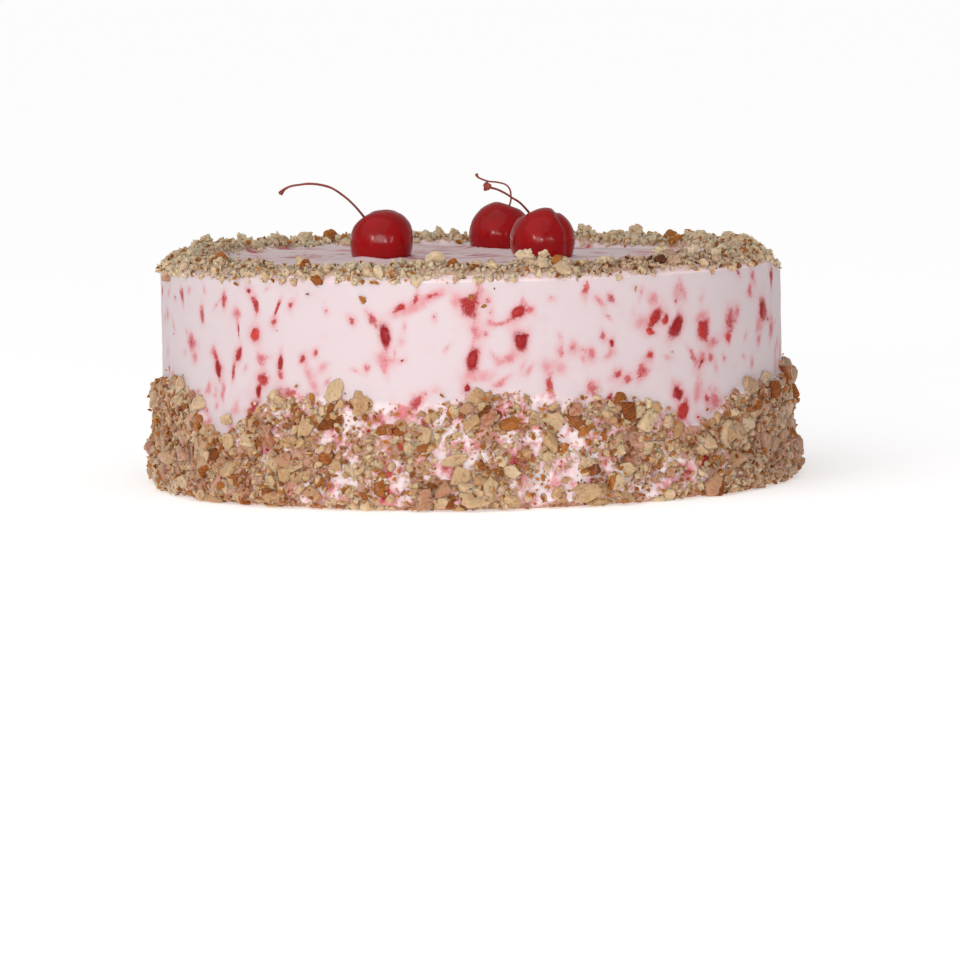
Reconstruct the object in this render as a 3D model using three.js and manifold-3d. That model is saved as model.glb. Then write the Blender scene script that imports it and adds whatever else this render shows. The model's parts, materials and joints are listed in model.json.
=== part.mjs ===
// A round cherry cake: frosted wall and top, chopped nuts pressed on in a band round the foot
// and in a ring on the rim, and cherries with their stems sunk a little into the top.
// Millimetres, +Z up, origin at the centre of the base. The front of the cake faces -Y.

import * as THREE from "three";
import { mergeVertices } from "three/addons/utils/BufferGeometryUtils.js";
import Module from "manifold-3d";

const wasm = await Module();
wasm.setup();

// Driving dimensions

const CAKE_RADIUS = 115;
const CAKE_HEIGHT = 81;
const EDGE_ROUND = 3; // rounding between the wall and the top
const CAKE_SIDES = 144; // facets round the cake
const WALL_WAVER = 0.35; // how far the palette knife leaves the wall out of round
const WAVER_TURNS = 5; // waves of that once round the cake
const WAVER_RISE = 9; // height over which a wave moves on by a radian

const BAND_HEIGHT = 39; // nut band on the foot of the wall, up to its upper edge
const BAND_RIPPLE = 2; // rise and fall of that edge
const RIPPLE_TURNS = 9; // waves of that once round the cake
const RIPPLE_START = 0.6; // where in a wave the front of the cake lies, in radians
const BAND_ROWS = 8; // rows of crags in the band
const RING_WIDTH = 18; // nut ring on the top, in from the edge
const RING_ROWS = 4;

const CRAG_LOWEST = 0.4; // the fine nuts are a bed of crags that stand this far off the frosting
const CRAG_HIGHEST = 3.6;
const CRAG_SHIFT = 0.55; // how far a crag strays from its place, as a share of the spacing

const LARGEST_NUT = 11; // length of a chopped piece
const SMALLEST_NUT = 6;
const NUT_BREADTH = [0.7, 0.95]; // breadth over length
const NUT_THICKNESS = [0.6, 0.8]; // thickness over length
const NUT_UNEVEN = [0.78, 1.12]; // reach of a corner over that of an even piece
const NUT_TIP = 0.5; // most that a piece is tipped either way, in radians
const NUT_STAND = 1.6; // how far the middle of a piece stands off the frosting
const ROUNDED_NUT = 9; // pieces longer than this are rounded lumps, the others are cut square
const SQUARE_NUT = 0.85; // edge of a square-cut piece over its length
const BAND_NUTS = { columns: 32, rows: 2 };
const RING_NUTS = { columns: 26, rows: 2 };

const GAP = 0.3; // clearance between pieces that touch
const STEM_SIDES = 8;
const STEM_STEPS = 18;
const CHERRY_SIDES = 22;
const CHERRY_ROWS = 14;

// Gaps between two presses of the hand, where the band's upper edge dips: direction in degrees
// from the front, depth of the dip and its half width in degrees
const BAND_DIPS = [
  { at: -50, depth: 13, half: 8 },
  { at: 44, depth: 15, half: 9 },
  { at: 128, depth: 12, half: 9 },
  { at: -146, depth: 13, half: 8 },
];

// Each cherry: centre from the cake's axis and above the top, size across, lean of its stem end
// to the right and to the back in degrees, turn of its crease, and the stem's line from the
// cherry's centre, foot to tip
const CHERRIES = [
  {
    name: "left",
    place: [-34, 20, 6.7],
    width: 23.7,
    height: 21.8,
    lean: [-38, 4],
    crease: 150,
    stem: [[-7, 1, 9], [-13.2, 0, 15.8], [-22.6, -2, 20.6], [-31.2, -3, 20.8], [-38.4, -4, 17.4]],
    tip: 0.95,
  },
  {
    name: "back",
    place: [10.3, 72, 6.8],
    width: 22.2,
    height: 21.6,
    lean: [26, 8],
    crease: 60,
    stem: [[4.6, 1.4, 9.4], [5, 5, 14.6], [1, 9, 18.2], [-6, 10, 19.4], [-8.3, 12, 21.9]],
    tip: 0.8,
  },
  {
    name: "front",
    place: [26.4, -8, 7.6],
    width: 24.6,
    height: 22.4,
    lean: [-27, 12],
    crease: 0,
    stem: [[-5.3, 2.1, 9.6], [-9.5, -2, 14.3], [-14.1, -7, 16.9], [-17.8, -11, 18.6], [-20.6, -15, 19]],
    tip: 1.6,
  },
];

const STEM_RADIUS = 0.55;
const STEM_FOOT_SWELL = 0.25; // how much stouter the foot is
const STEM_FOOT_REACH = 0.08; // length over which that dies away, as a share of the stem's
const STEM_TIP_REACH = 0.09; // length over which the tip flares
const STEM_FOOT_DEPTH = 1.6; // how far the stem's foot reaches into the cherry
const DIMPLE_DEPTH = 0.17; // stem cavity, as a share of the cherry's radius
const DIMPLE_WIDTH = 0.42; // its reach in radians from the stem
const CREASE_DEPTH = 0.045;
const CREASE_WIDTH = 0.3;

const FROSTING = new THREE.MeshStandardMaterial({ color: "#f0dfe2", roughness: 0.6, metalness: 0 });
const CHERRY_SKIN = new THREE.MeshStandardMaterial({ color: "#921318", roughness: 0.15, metalness: 0 });
const STEM_BARK = new THREE.MeshStandardMaterial({ color: "#6e2218", roughness: 0.5, metalness: 0 });

// Small helpers

const radians = THREE.MathUtils.degToRad;
const mix = THREE.MathUtils.lerp;

// Repeatable random numbers from 0 to 1
function seeded(seed) {
  return () => {
    seed = (seed + 0x6d2b79f5) | 0;
    let t = Math.imul(seed ^ (seed >>> 15), 1 | seed);
    t = (t + Math.imul(t ^ (t >>> 7), 61 | t)) ^ t;
    return ((t ^ (t >>> 14)) >>> 0) / 4294967296;
  };
}

// A geometry with only its positions, shared vertices merged and empty triangles left out
function welded(geometry) {
  const bare = new THREE.BufferGeometry();
  bare.setAttribute("position", geometry.getAttribute("position").clone());
  bare.setIndex(geometry.index);
  const merged = mergeVertices(bare, 1e-3);
  const kept = [];
  for (let i = 0; i < merged.index.count; i += 3) {
    const [a, b, c] = [0, 1, 2].map((corner) => merged.index.getX(i + corner));
    if (a !== b && b !== c && c !== a) kept.push(a, b, c);
  }
  merged.setIndex(kept);
  return merged;
}

function solidOf(geometry) {
  const merged = welded(geometry);
  const vertProperties = new Float32Array(merged.getAttribute("position").array);
  const triVerts = new Uint32Array(merged.index.array);
  return new wasm.Manifold(new wasm.Mesh({ numProp: 3, vertProperties, triVerts }));
}

function geometryOf(solid) {
  const mesh = solid.getMesh();
  const geometry = new THREE.BufferGeometry();
  geometry.setAttribute("position", new THREE.BufferAttribute(mesh.vertProperties, 3));
  geometry.setIndex(new THREE.BufferAttribute(mesh.triVerts, 1));
  geometry.computeVertexNormals();
  return geometry;
}

// The one body that counts: loose scraps are dropped, and leaving out the inner shells
// fills any hollow that fusing sealed
function wholeBody(solid) {
  return solid.decompose().reduce((best, body) => (body.volume() > best.volume() ? body : best));
}

// Cake

// Upper edge of the nut band in a direction given in radians from the front
function bandEdge(direction) {
  let height = BAND_HEIGHT + BAND_RIPPLE * Math.sin(RIPPLE_TURNS * direction + RIPPLE_START);
  for (const dip of BAND_DIPS) {
    const turn = direction - radians(dip.at);
    const away = Math.atan2(Math.sin(turn), Math.cos(turn)) / radians(dip.half);
    height -= dip.depth * Math.exp(-away * away);
  }
  return height;
}

// A point of the cake: direction from the front, distance from the axis and height
function aroundCake(direction, radius, height) {
  return new THREE.Vector3(radius * Math.sin(direction), -radius * Math.cos(direction), height);
}

// Outline of the bare cake from the middle of its base to the middle of its top
function cakeOutline() {
  const outline = [new THREE.Vector2(0, 0)];
  for (let row = 0; row <= BAND_ROWS; row++) {
    outline.push(new THREE.Vector2(CAKE_RADIUS, (BAND_HEIGHT * row) / BAND_ROWS));
  }
  for (const turn of [0, 45, 90].map(radians)) {
    const inset = EDGE_ROUND * (1 - Math.cos(turn));
    const drop = EDGE_ROUND * (1 - Math.sin(turn));
    outline.push(new THREE.Vector2(CAKE_RADIUS - inset, CAKE_HEIGHT - drop));
  }
  for (let row = 1; row <= RING_ROWS; row++) {
    const reach = mix(EDGE_ROUND, RING_WIDTH, row / RING_ROWS);
    outline.push(new THREE.Vector2(CAKE_RADIUS - reach, CAKE_HEIGHT));
  }
  outline.push(new THREE.Vector2(0, CAKE_HEIGHT));
  return outline;
}

// The frosted cake with the craggy beds of fine nuts on its foot and its rim
function cakeCore() {
  const outline = cakeOutline();
  const core = new THREE.LatheGeometry(outline, CAKE_SIDES);
  const random = seeded(11);
  const crags = Array.from({ length: CAKE_SIDES * outline.length }, () => ({
    stand: mix(CRAG_LOWEST, CRAG_HIGHEST, random()),
    around: (CRAG_SHIFT * (random() - 0.5) * 2 * Math.PI) / CAKE_SIDES,
    across: CRAG_SHIFT * (random() - 0.5),
  }));
  const bandTop = 1 + BAND_ROWS;
  const ringEdge = outline.length - 2 - RING_ROWS;
  const places = core.getAttribute("position");
  for (let i = 0; i < places.count; i++) {
    const column = Math.floor(i / outline.length) % CAKE_SIDES;
    const row = i % outline.length;
    const crag = crags[column * outline.length + row];
    let direction = (2 * Math.PI * column) / CAKE_SIDES;
    let { x: radius, y: height } = outline[row];
    if (radius === CAKE_RADIUS) {
      radius += WALL_WAVER * Math.sin(WAVER_TURNS * direction + height / WAVER_RISE);
    }
    if (row > 0 && row <= bandTop) {
      const inside = row > 1 && row < bandTop;
      const strayed = height + (inside ? (crag.across * BAND_HEIGHT) / BAND_ROWS : 0);
      direction += crag.around;
      height = (strayed / BAND_HEIGHT) * bandEdge(direction);
      radius += row < bandTop ? crag.stand : 0;
    } else if (row >= ringEdge && row < outline.length - 2) {
      direction += crag.around;
      radius += row > ringEdge ? (crag.across * RING_WIDTH) / RING_ROWS : 0;
      height += crag.stand;
    }
    places.setXYZ(i, ...aroundCake(direction, radius, height));
  }
  return solidOf(core);
}

// One chopped piece of nut: a lump with uneven corners, flattened and turned its own way
function nutPiece(length, normal, place, random) {
  const edge = SQUARE_NUT * length;
  const rounded = length > ROUNDED_NUT;
  const lump = welded(
    rounded ? new THREE.IcosahedronGeometry(length / 2, 0) : new THREE.BoxGeometry(edge, edge, edge),
  );
  const corners = lump.getAttribute("position");
  for (let i = 0; i < corners.count; i++) {
    const uneven = mix(...NUT_UNEVEN, random());
    corners.setXYZ(i, ...[corners.getX(i), corners.getY(i), corners.getZ(i)].map((v) => v * uneven));
  }
  const shape = new THREE.Vector3(1, mix(...NUT_BREADTH, random()), mix(...NUT_THICKNESS, random()));
  const spin = new THREE.Quaternion().setFromAxisAngle(new THREE.Vector3(0, 0, 1), 2 * Math.PI * random());
  const facing = new THREE.Quaternion().setFromUnitVectors(new THREE.Vector3(0, 0, 1), normal);
  const [across, along] = [random(), random()].map((share) => mix(-NUT_TIP, NUT_TIP, share));
  const tip = new THREE.Quaternion().setFromEuler(new THREE.Euler(across, along, 0));
  const turn = facing.multiply(tip).multiply(spin);
  return solidOf(lump.applyMatrix4(new THREE.Matrix4().compose(place, turn, shape)));
}

// Pieces strewn evenly over a strip, one in each cell of a grid at a place of its own in the cell.
// settle takes the direction, the share of the strip's width and the length of a piece, and
// gives its normal and its place
function strewn({ columns, rows }, seed, settle) {
  const random = seeded(seed);
  return Array.from({ length: columns * rows }, (_, index) => {
    const column = Math.floor(index / rows);
    const direction = (2 * Math.PI * (column + random())) / columns;
    const across = ((index % rows) + random()) / rows;
    const length = mix(SMALLEST_NUT, LARGEST_NUT, random());
    const { normal, place } = settle(direction, across, length);
    return nutPiece(length, normal, place.addScaledVector(normal, NUT_STAND), random);
  });
}

// The larger pieces pressed into the band
function bandNuts() {
  return strewn(BAND_NUTS, 23, (direction, across, length) => {
    const height = mix(length / 3, bandEdge(direction), across);
    const place = aroundCake(direction, CAKE_RADIUS, height);
    return { normal: aroundCake(direction, 1, 0), place };
  });
}

// The larger pieces on the rim
function ringNuts() {
  return strewn(RING_NUTS, 37, (direction, across, length) => {
    const radius = mix(CAKE_RADIUS - RING_WIDTH, CAKE_RADIUS - length / 2, across);
    const place = aroundCake(direction, radius, CAKE_HEIGHT);
    return { normal: new THREE.Vector3(0, 0, 1), place };
  });
}

// Cherries

// Turns +Z to a cherry's stem end, and its crease to the side it shows
function cherryTurn(cherry) {
  const [right, back] = cherry.lean.map(radians);
  const lean = new THREE.Quaternion().setFromEuler(new THREE.Euler(-back, right, 0));
  const spin = new THREE.Quaternion().setFromAxisAngle(new THREE.Vector3(0, 0, 1), radians(cherry.crease));
  return lean.multiply(spin);
}

// A ball with the hollow round its stem and the crease down one side
function cherryBall(cherry, grow = 0) {
  const ball = new THREE.SphereGeometry(1, CHERRY_SIDES, CHERRY_ROWS).rotateX(Math.PI / 2);
  const points = ball.getAttribute("position");
  const point = new THREE.Vector3();
  for (let i = 0; i < points.count; i++) {
    point.fromBufferAttribute(points, i);
    const fromStem = Math.acos(THREE.MathUtils.clamp(point.z, -1, 1));
    const dimple = DIMPLE_DEPTH * Math.exp(-((fromStem / DIMPLE_WIDTH) ** 2));
    const fromCrease = Math.atan2(point.y, point.x) / CREASE_WIDTH;
    const crease = CREASE_DEPTH * Math.sin(fromStem) * Math.exp(-fromCrease * fromCrease);
    const reach = 1 - dimple - crease;
    const across = (cherry.width / 2) * reach + grow;
    point.set(point.x * across, point.y * across, point.z * ((cherry.height / 2) * reach + grow));
    points.setXYZ(i, ...point);
  }
  return ball.applyQuaternion(cherryTurn(cherry));
}

// Line of the stem, from a little way inside the cherry to the tip
function stemLine(cherry) {
  const points = cherry.stem.map((place) => new THREE.Vector3(...place));
  const inwards = points[0].clone().setLength(points[0].length() - STEM_FOOT_DEPTH);
  return new THREE.CatmullRomCurve3([inwards, ...points]);
}

// Radius of the stem along its length: stout at the foot, slim, then flaring into the tip
function stemRadius(along, tip) {
  const foot = STEM_FOOT_SWELL * Math.exp(-along / STEM_FOOT_REACH);
  const flare = (tip - STEM_RADIUS) * Math.exp(-(((1 - along) / STEM_TIP_REACH) ** 2));
  return STEM_RADIUS + foot + flare;
}

// A stem turned straight along its axis and then bent along its line
function stemRod(cherry, grow = 0) {
  const outline = [new THREE.Vector2(0, 0)];
  for (let step = 0; step <= STEM_STEPS; step++) {
    const along = step / STEM_STEPS;
    outline.push(new THREE.Vector2(stemRadius(along, cherry.tip) + grow, along));
  }
  outline.push(new THREE.Vector2(0, 1));
  const rod = new THREE.LatheGeometry(outline, STEM_SIDES);
  const line = stemLine(cherry);
  const frames = line.computeFrenetFrames(STEM_STEPS);
  const places = rod.getAttribute("position");
  for (let i = 0; i < places.count; i++) {
    const along = places.getY(i);
    const step = Math.round(along * STEM_STEPS);
    const place = line.getPointAt(along);
    place.addScaledVector(frames.binormals[step], places.getX(i));
    place.addScaledVector(frames.normals[step], places.getZ(i));
    places.setXYZ(i, ...place);
  }
  return rod;
}

// Assembly

function named(name, solid, material) {
  const mesh = new THREE.Mesh(geometryOf(solid), material);
  mesh.name = name;
  return mesh;
}

const cherryCake = new THREE.Group();
let cake = wasm.Manifold.union([cakeCore(), ...bandNuts(), ...ringNuts()]);

for (const cherry of CHERRIES) {
  const [x, y, above] = cherry.place;
  const centre = new THREE.Vector3(x, y, CAKE_HEIGHT + above);
  const socket = cherryBall(cherry, GAP).translate(...centre);
  cake = cake.subtract(solidOf(socket));
  const fruit = solidOf(cherryBall(cherry)).subtract(solidOf(stemRod(cherry, GAP)));
  const placed = new THREE.Group();
  placed.position.copy(centre);
  placed.add(named(`cherry_${cherry.name}`, wholeBody(fruit), CHERRY_SKIN));
  placed.add(named(`stem_${cherry.name}`, solidOf(stemRod(cherry)), STEM_BARK));
  cherryCake.add(placed);
}

const standing = cake.trimByPlane([0, 0, 1], 0); // nuts are cut off level with the base
cherryCake.add(named("frosted_cake", wholeBody(standing), FROSTING));

export default cherryCake;
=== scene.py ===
"""A frosted cherry cake: pale pink frosting full of chopped cherry, chopped nuts pressed on round
its foot and strewn on its rim, and preserved cherries with their stems on top. Metres, +Z up, the
front of the cake faces -Y."""

import json
import math
from dataclasses import dataclass

import bmesh
import bpy
import numpy as np
from bpy.props import FloatProperty, FloatVectorProperty, IntProperty, PointerProperty
from mathutils import Euler, Matrix, Vector, noise
from mathutils.bvhtree import BVHTree

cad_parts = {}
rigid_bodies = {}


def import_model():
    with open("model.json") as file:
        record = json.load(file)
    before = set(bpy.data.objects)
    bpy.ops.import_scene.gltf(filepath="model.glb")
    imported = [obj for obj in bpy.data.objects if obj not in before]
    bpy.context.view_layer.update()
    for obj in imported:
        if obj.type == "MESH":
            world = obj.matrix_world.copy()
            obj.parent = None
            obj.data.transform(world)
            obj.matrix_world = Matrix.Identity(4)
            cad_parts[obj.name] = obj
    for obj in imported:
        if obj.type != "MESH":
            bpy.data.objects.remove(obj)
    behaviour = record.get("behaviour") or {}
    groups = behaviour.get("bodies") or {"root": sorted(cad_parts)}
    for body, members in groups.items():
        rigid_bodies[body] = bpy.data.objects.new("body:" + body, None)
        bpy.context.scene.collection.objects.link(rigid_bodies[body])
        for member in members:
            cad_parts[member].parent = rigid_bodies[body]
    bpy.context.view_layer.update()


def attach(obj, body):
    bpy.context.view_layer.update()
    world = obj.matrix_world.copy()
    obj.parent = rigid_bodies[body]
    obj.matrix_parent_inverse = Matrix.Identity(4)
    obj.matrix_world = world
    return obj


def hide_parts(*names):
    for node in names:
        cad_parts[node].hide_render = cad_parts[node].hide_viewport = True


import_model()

bl_info = {
    "name": "Cherry cake",
    "version": (1, 0, 0),
    "blender": (4, 5, 0),
    "location": "3D View > Sidebar > Cake",
    "description": "Builds a frosted cherry cake with chopped nuts and stemmed cherries",
    "category": "Add Mesh",
}

BODY = "root"
MM = 0.001

# Gaps between two presses of the hand, where the upper edge of the nut band dips: direction in
# degrees from the front, depth in millimetres and half width in degrees
BAND_DIPS = ((-50, 13, 8), (44, 15, 9), (128, 12, 9), (-146, 13, 8))

# Heaps on the rim: direction in degrees, height in millimetres and half width in degrees
RIM_HEAPS = ((13, 1.9, 7), (-9, 0.8, 7), (-28, 1.0, 6), (157, 0.8, 8), (-145, -1.8, 26), (95, 0.4, 12))

# Dents in the edge of the top: direction in degrees, depth in millimetres and half width in degrees
EDGE_DENTS = ((90, 7, 13), (-93, 0.6, 9), (30, 0.5, 9), (-155, 1.4, 12), (160, 1.8, 9))

# Bits of cherry that show well on the front: direction in degrees, height, length and breadth in
# millimetres, tilt to the right in degrees, how deep the bit lies, from 0 at the surface to 1, and
# its tone from dark to bright
SHOWN_BITS = (
    (34.0, 64.6, 8.0, 3.6, 35, 0.0, 0.45),
    (36.6, 64.0, 4.2, 3.0, 12, 0.05, 0.5),
    (33.2, 60.2, 4.4, 2.8, 115, 0.05, 0.8),
    (32.0, 63.6, 7.0, 3.0, 80, 0.75, 0.4),
    (39.0, 61.4, 9.0, 5.4, 28, 0.0, 0.1),
    (45.6, 59.3, 10.4, 6.4, -14, 0.02, 0.5),
    (53.4, 60.7, 6.8, 5.4, 0, 0.25, 0.3),
    (56.0, 64.4, 4.0, 3.4, 20, 0.4, 0.3),
    (66.8, 63.5, 8.4, 6.6, 0, 0.05, 0.25),
    (64.6, 58.0, 5.0, 4.0, 30, 0.55, 0.3),
    (40.2, 73.8, 5.8, 4.6, 0, 0.55, 0.4),
    (33.8, 72.0, 3.6, 3.2, 0, 0.6, 0.4),
    (31.4, 46.6, 5.8, 4.2, 10, 0.25, 0.5),
    (33.0, 52.0, 3.0, 2.6, 40, 0.1, 0.6),
    (28.4, 43.8, 3.8, 2.6, 60, 0.25, 0.4),
    (39.2, 37.4, 5.4, 3.6, -45, 0.0, 0.15),
    (40.4, 31.2, 8.4, 5.6, 24, 0.03, 0.55),
    (48.8, 33.6, 7.0, 6.0, 8, 0.38, 0.4),
    (44.0, 38.0, 7.4, 3.2, 6, 0.6, 0.4),
    (43.0, 50.0, 6.4, 2.2, -30, 0.3, 0.3),
    (47.6, 49.0, 3.2, 3.0, 0, 0.3, 0.3),
    (20.4, 75.8, 5.4, 2.8, 12, 0.25, 0.55),
    (8.2, 69.5, 6.6, 3.8, 65, 0.05, 0.45),
    (8.6, 58.6, 6.8, 5.2, 15, 0.0, 0.15),
    (0.0, 52.9, 8.2, 4.4, 14, 0.05, 0.25),
    (-0.4, 71.8, 6.6, 5.8, -20, 0.1, 0.3),
    (0.6, 63.0, 4.2, 3.4, 10, 0.45, 0.3),
    (5.0, 65.2, 4.6, 1.4, 80, 0.35, 0.5),
    (6.4, 53.0, 4.0, 3.2, 70, 0.5, 0.4),
    (1.6, 46.8, 9.0, 3.0, 85, 0.85, 0.4),
    (4.6, 44.0, 4.4, 2.6, 60, 0.4, 0.4),
    (-12.4, 71.2, 4.6, 2.4, 65, 0.1, 0.5),
    (-9.8, 73.4, 6.2, 2.4, 30, 0.15, 0.3),
    (-6.8, 75.4, 6.4, 1.8, 78, 0.2, 0.4),
    (-9.6, 72.0, 15.0, 4.0, 66, 0.85, 0.4),
    (-15.2, 61.2, 8.0, 3.2, -8, 0.0, 0.1),
    (-17.6, 67.4, 6.4, 3.0, -20, 0.25, 0.25),
    (-21.4, 67.0, 2.8, 2.2, -40, 0.2, 0.4),
    (-41.8, 61.1, 4.8, 3.6, 0, 0.0, 1.0),
    (-52.2, 47.9, 6.8, 3.6, -14, 0.05, 0.15),
    (-46.0, 53.8, 5.0, 2.8, 25, 0.1, 0.3),
    (-47.6, 47.4, 6.0, 1.8, 10, 0.2, 0.3),
    (-40.6, 52.4, 4.4, 3.8, 30, 0.4, 0.4),
    (-36.0, 51.4, 6.0, 2.2, 8, 0.1, 0.2),
    (-36.0, 47.0, 4.0, 2.0, -20, 0.25, 0.3),
    (-31.2, 53.1, 3.2, 2.8, 10, 0.15, 0.25),
    (-30.0, 48.0, 5.4, 2.6, -25, 0.7, 0.4),
    (-28.6, 55.4, 2.2, 1.8, 0, 0.2, 0.4),
    (-41.2, 41.0, 5.6, 2.8, 4, 0.0, 0.15),
    (-40.0, 45.4, 5.6, 4.4, 60, 0.15, 0.35),
    (-34.0, 40.6, 6.0, 2.6, 75, 0.25, 0.4),
    (-42.0, 35.4, 4.6, 3.6, 0, 0.15, 0.3),
    (-50.8, 40.0, 6.6, 3.0, 10, 0.45, 0.4),
    (-41.4, 71.9, 6.6, 3.4, -22, 0.15, 0.3),
    (-36.6, 70.4, 6.0, 1.2, 32, 0.1, 0.3),
    (-46.4, 68.6, 3.8, 3.0, -30, 0.45, 0.4),
    (-50.0, 73.0, 5.0, 2.6, 20, 0.2, 0.5),
    (-57.0, 67.0, 7.0, 2.8, -6, 0.25, 0.2),
    (-46.0, 63.4, 7.6, 1.0, -6, 0.2, 0.2),
    (-61.6, 56.0, 6.8, 4.0, 10, 0.3, 0.3),
    (-65.0, 73.0, 6.0, 3.4, -16, 0.2, 0.2),
    (-12.4, 22.7, 4.8, 4.2, 100, 0.0, 1.0),
    (-15.4, 5.8, 5.6, 3.8, 20, 0.0, 0.3),
    (45.0, 12.3, 7.4, 4.6, 70, 0.05, 0.3),
    (-33.0, 29.4, 4.0, 3.6, 0, 0.0, 0.1),
    (-13.6, 28.0, 5.4, 4.6, 40, 0.05, 0.2),
    (9.0, 29.4, 3.2, 2.6, 80, 0.0, 1.0),
    (7.6, 17.0, 6.0, 4.4, -20, 0.2, 0.2),
    (-9.6, 38.6, 7.4, 3.6, 35, 0.2, 0.3),
    (13.6, 44.0, 7.6, 2.8, -10, 0.2, 0.45),
    (21.4, 41.6, 4.2, 3.6, 0, 0.3, 0.4),
    (26.4, 45.8, 3.6, 2.8, 50, 0.2, 0.5),
    (72.0, 75.0, 6.4, 4.4, 0, 0.1, 0.2),
    (62.0, 76.0, 5.4, 3.0, -30, 0.3, 0.3),
    (60.6, 70.6, 4.4, 3.4, -10, 0.3, 0.5),
    (71.0, 56.0, 7.0, 5.0, 0, 0.4, 0.3),
)

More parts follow.
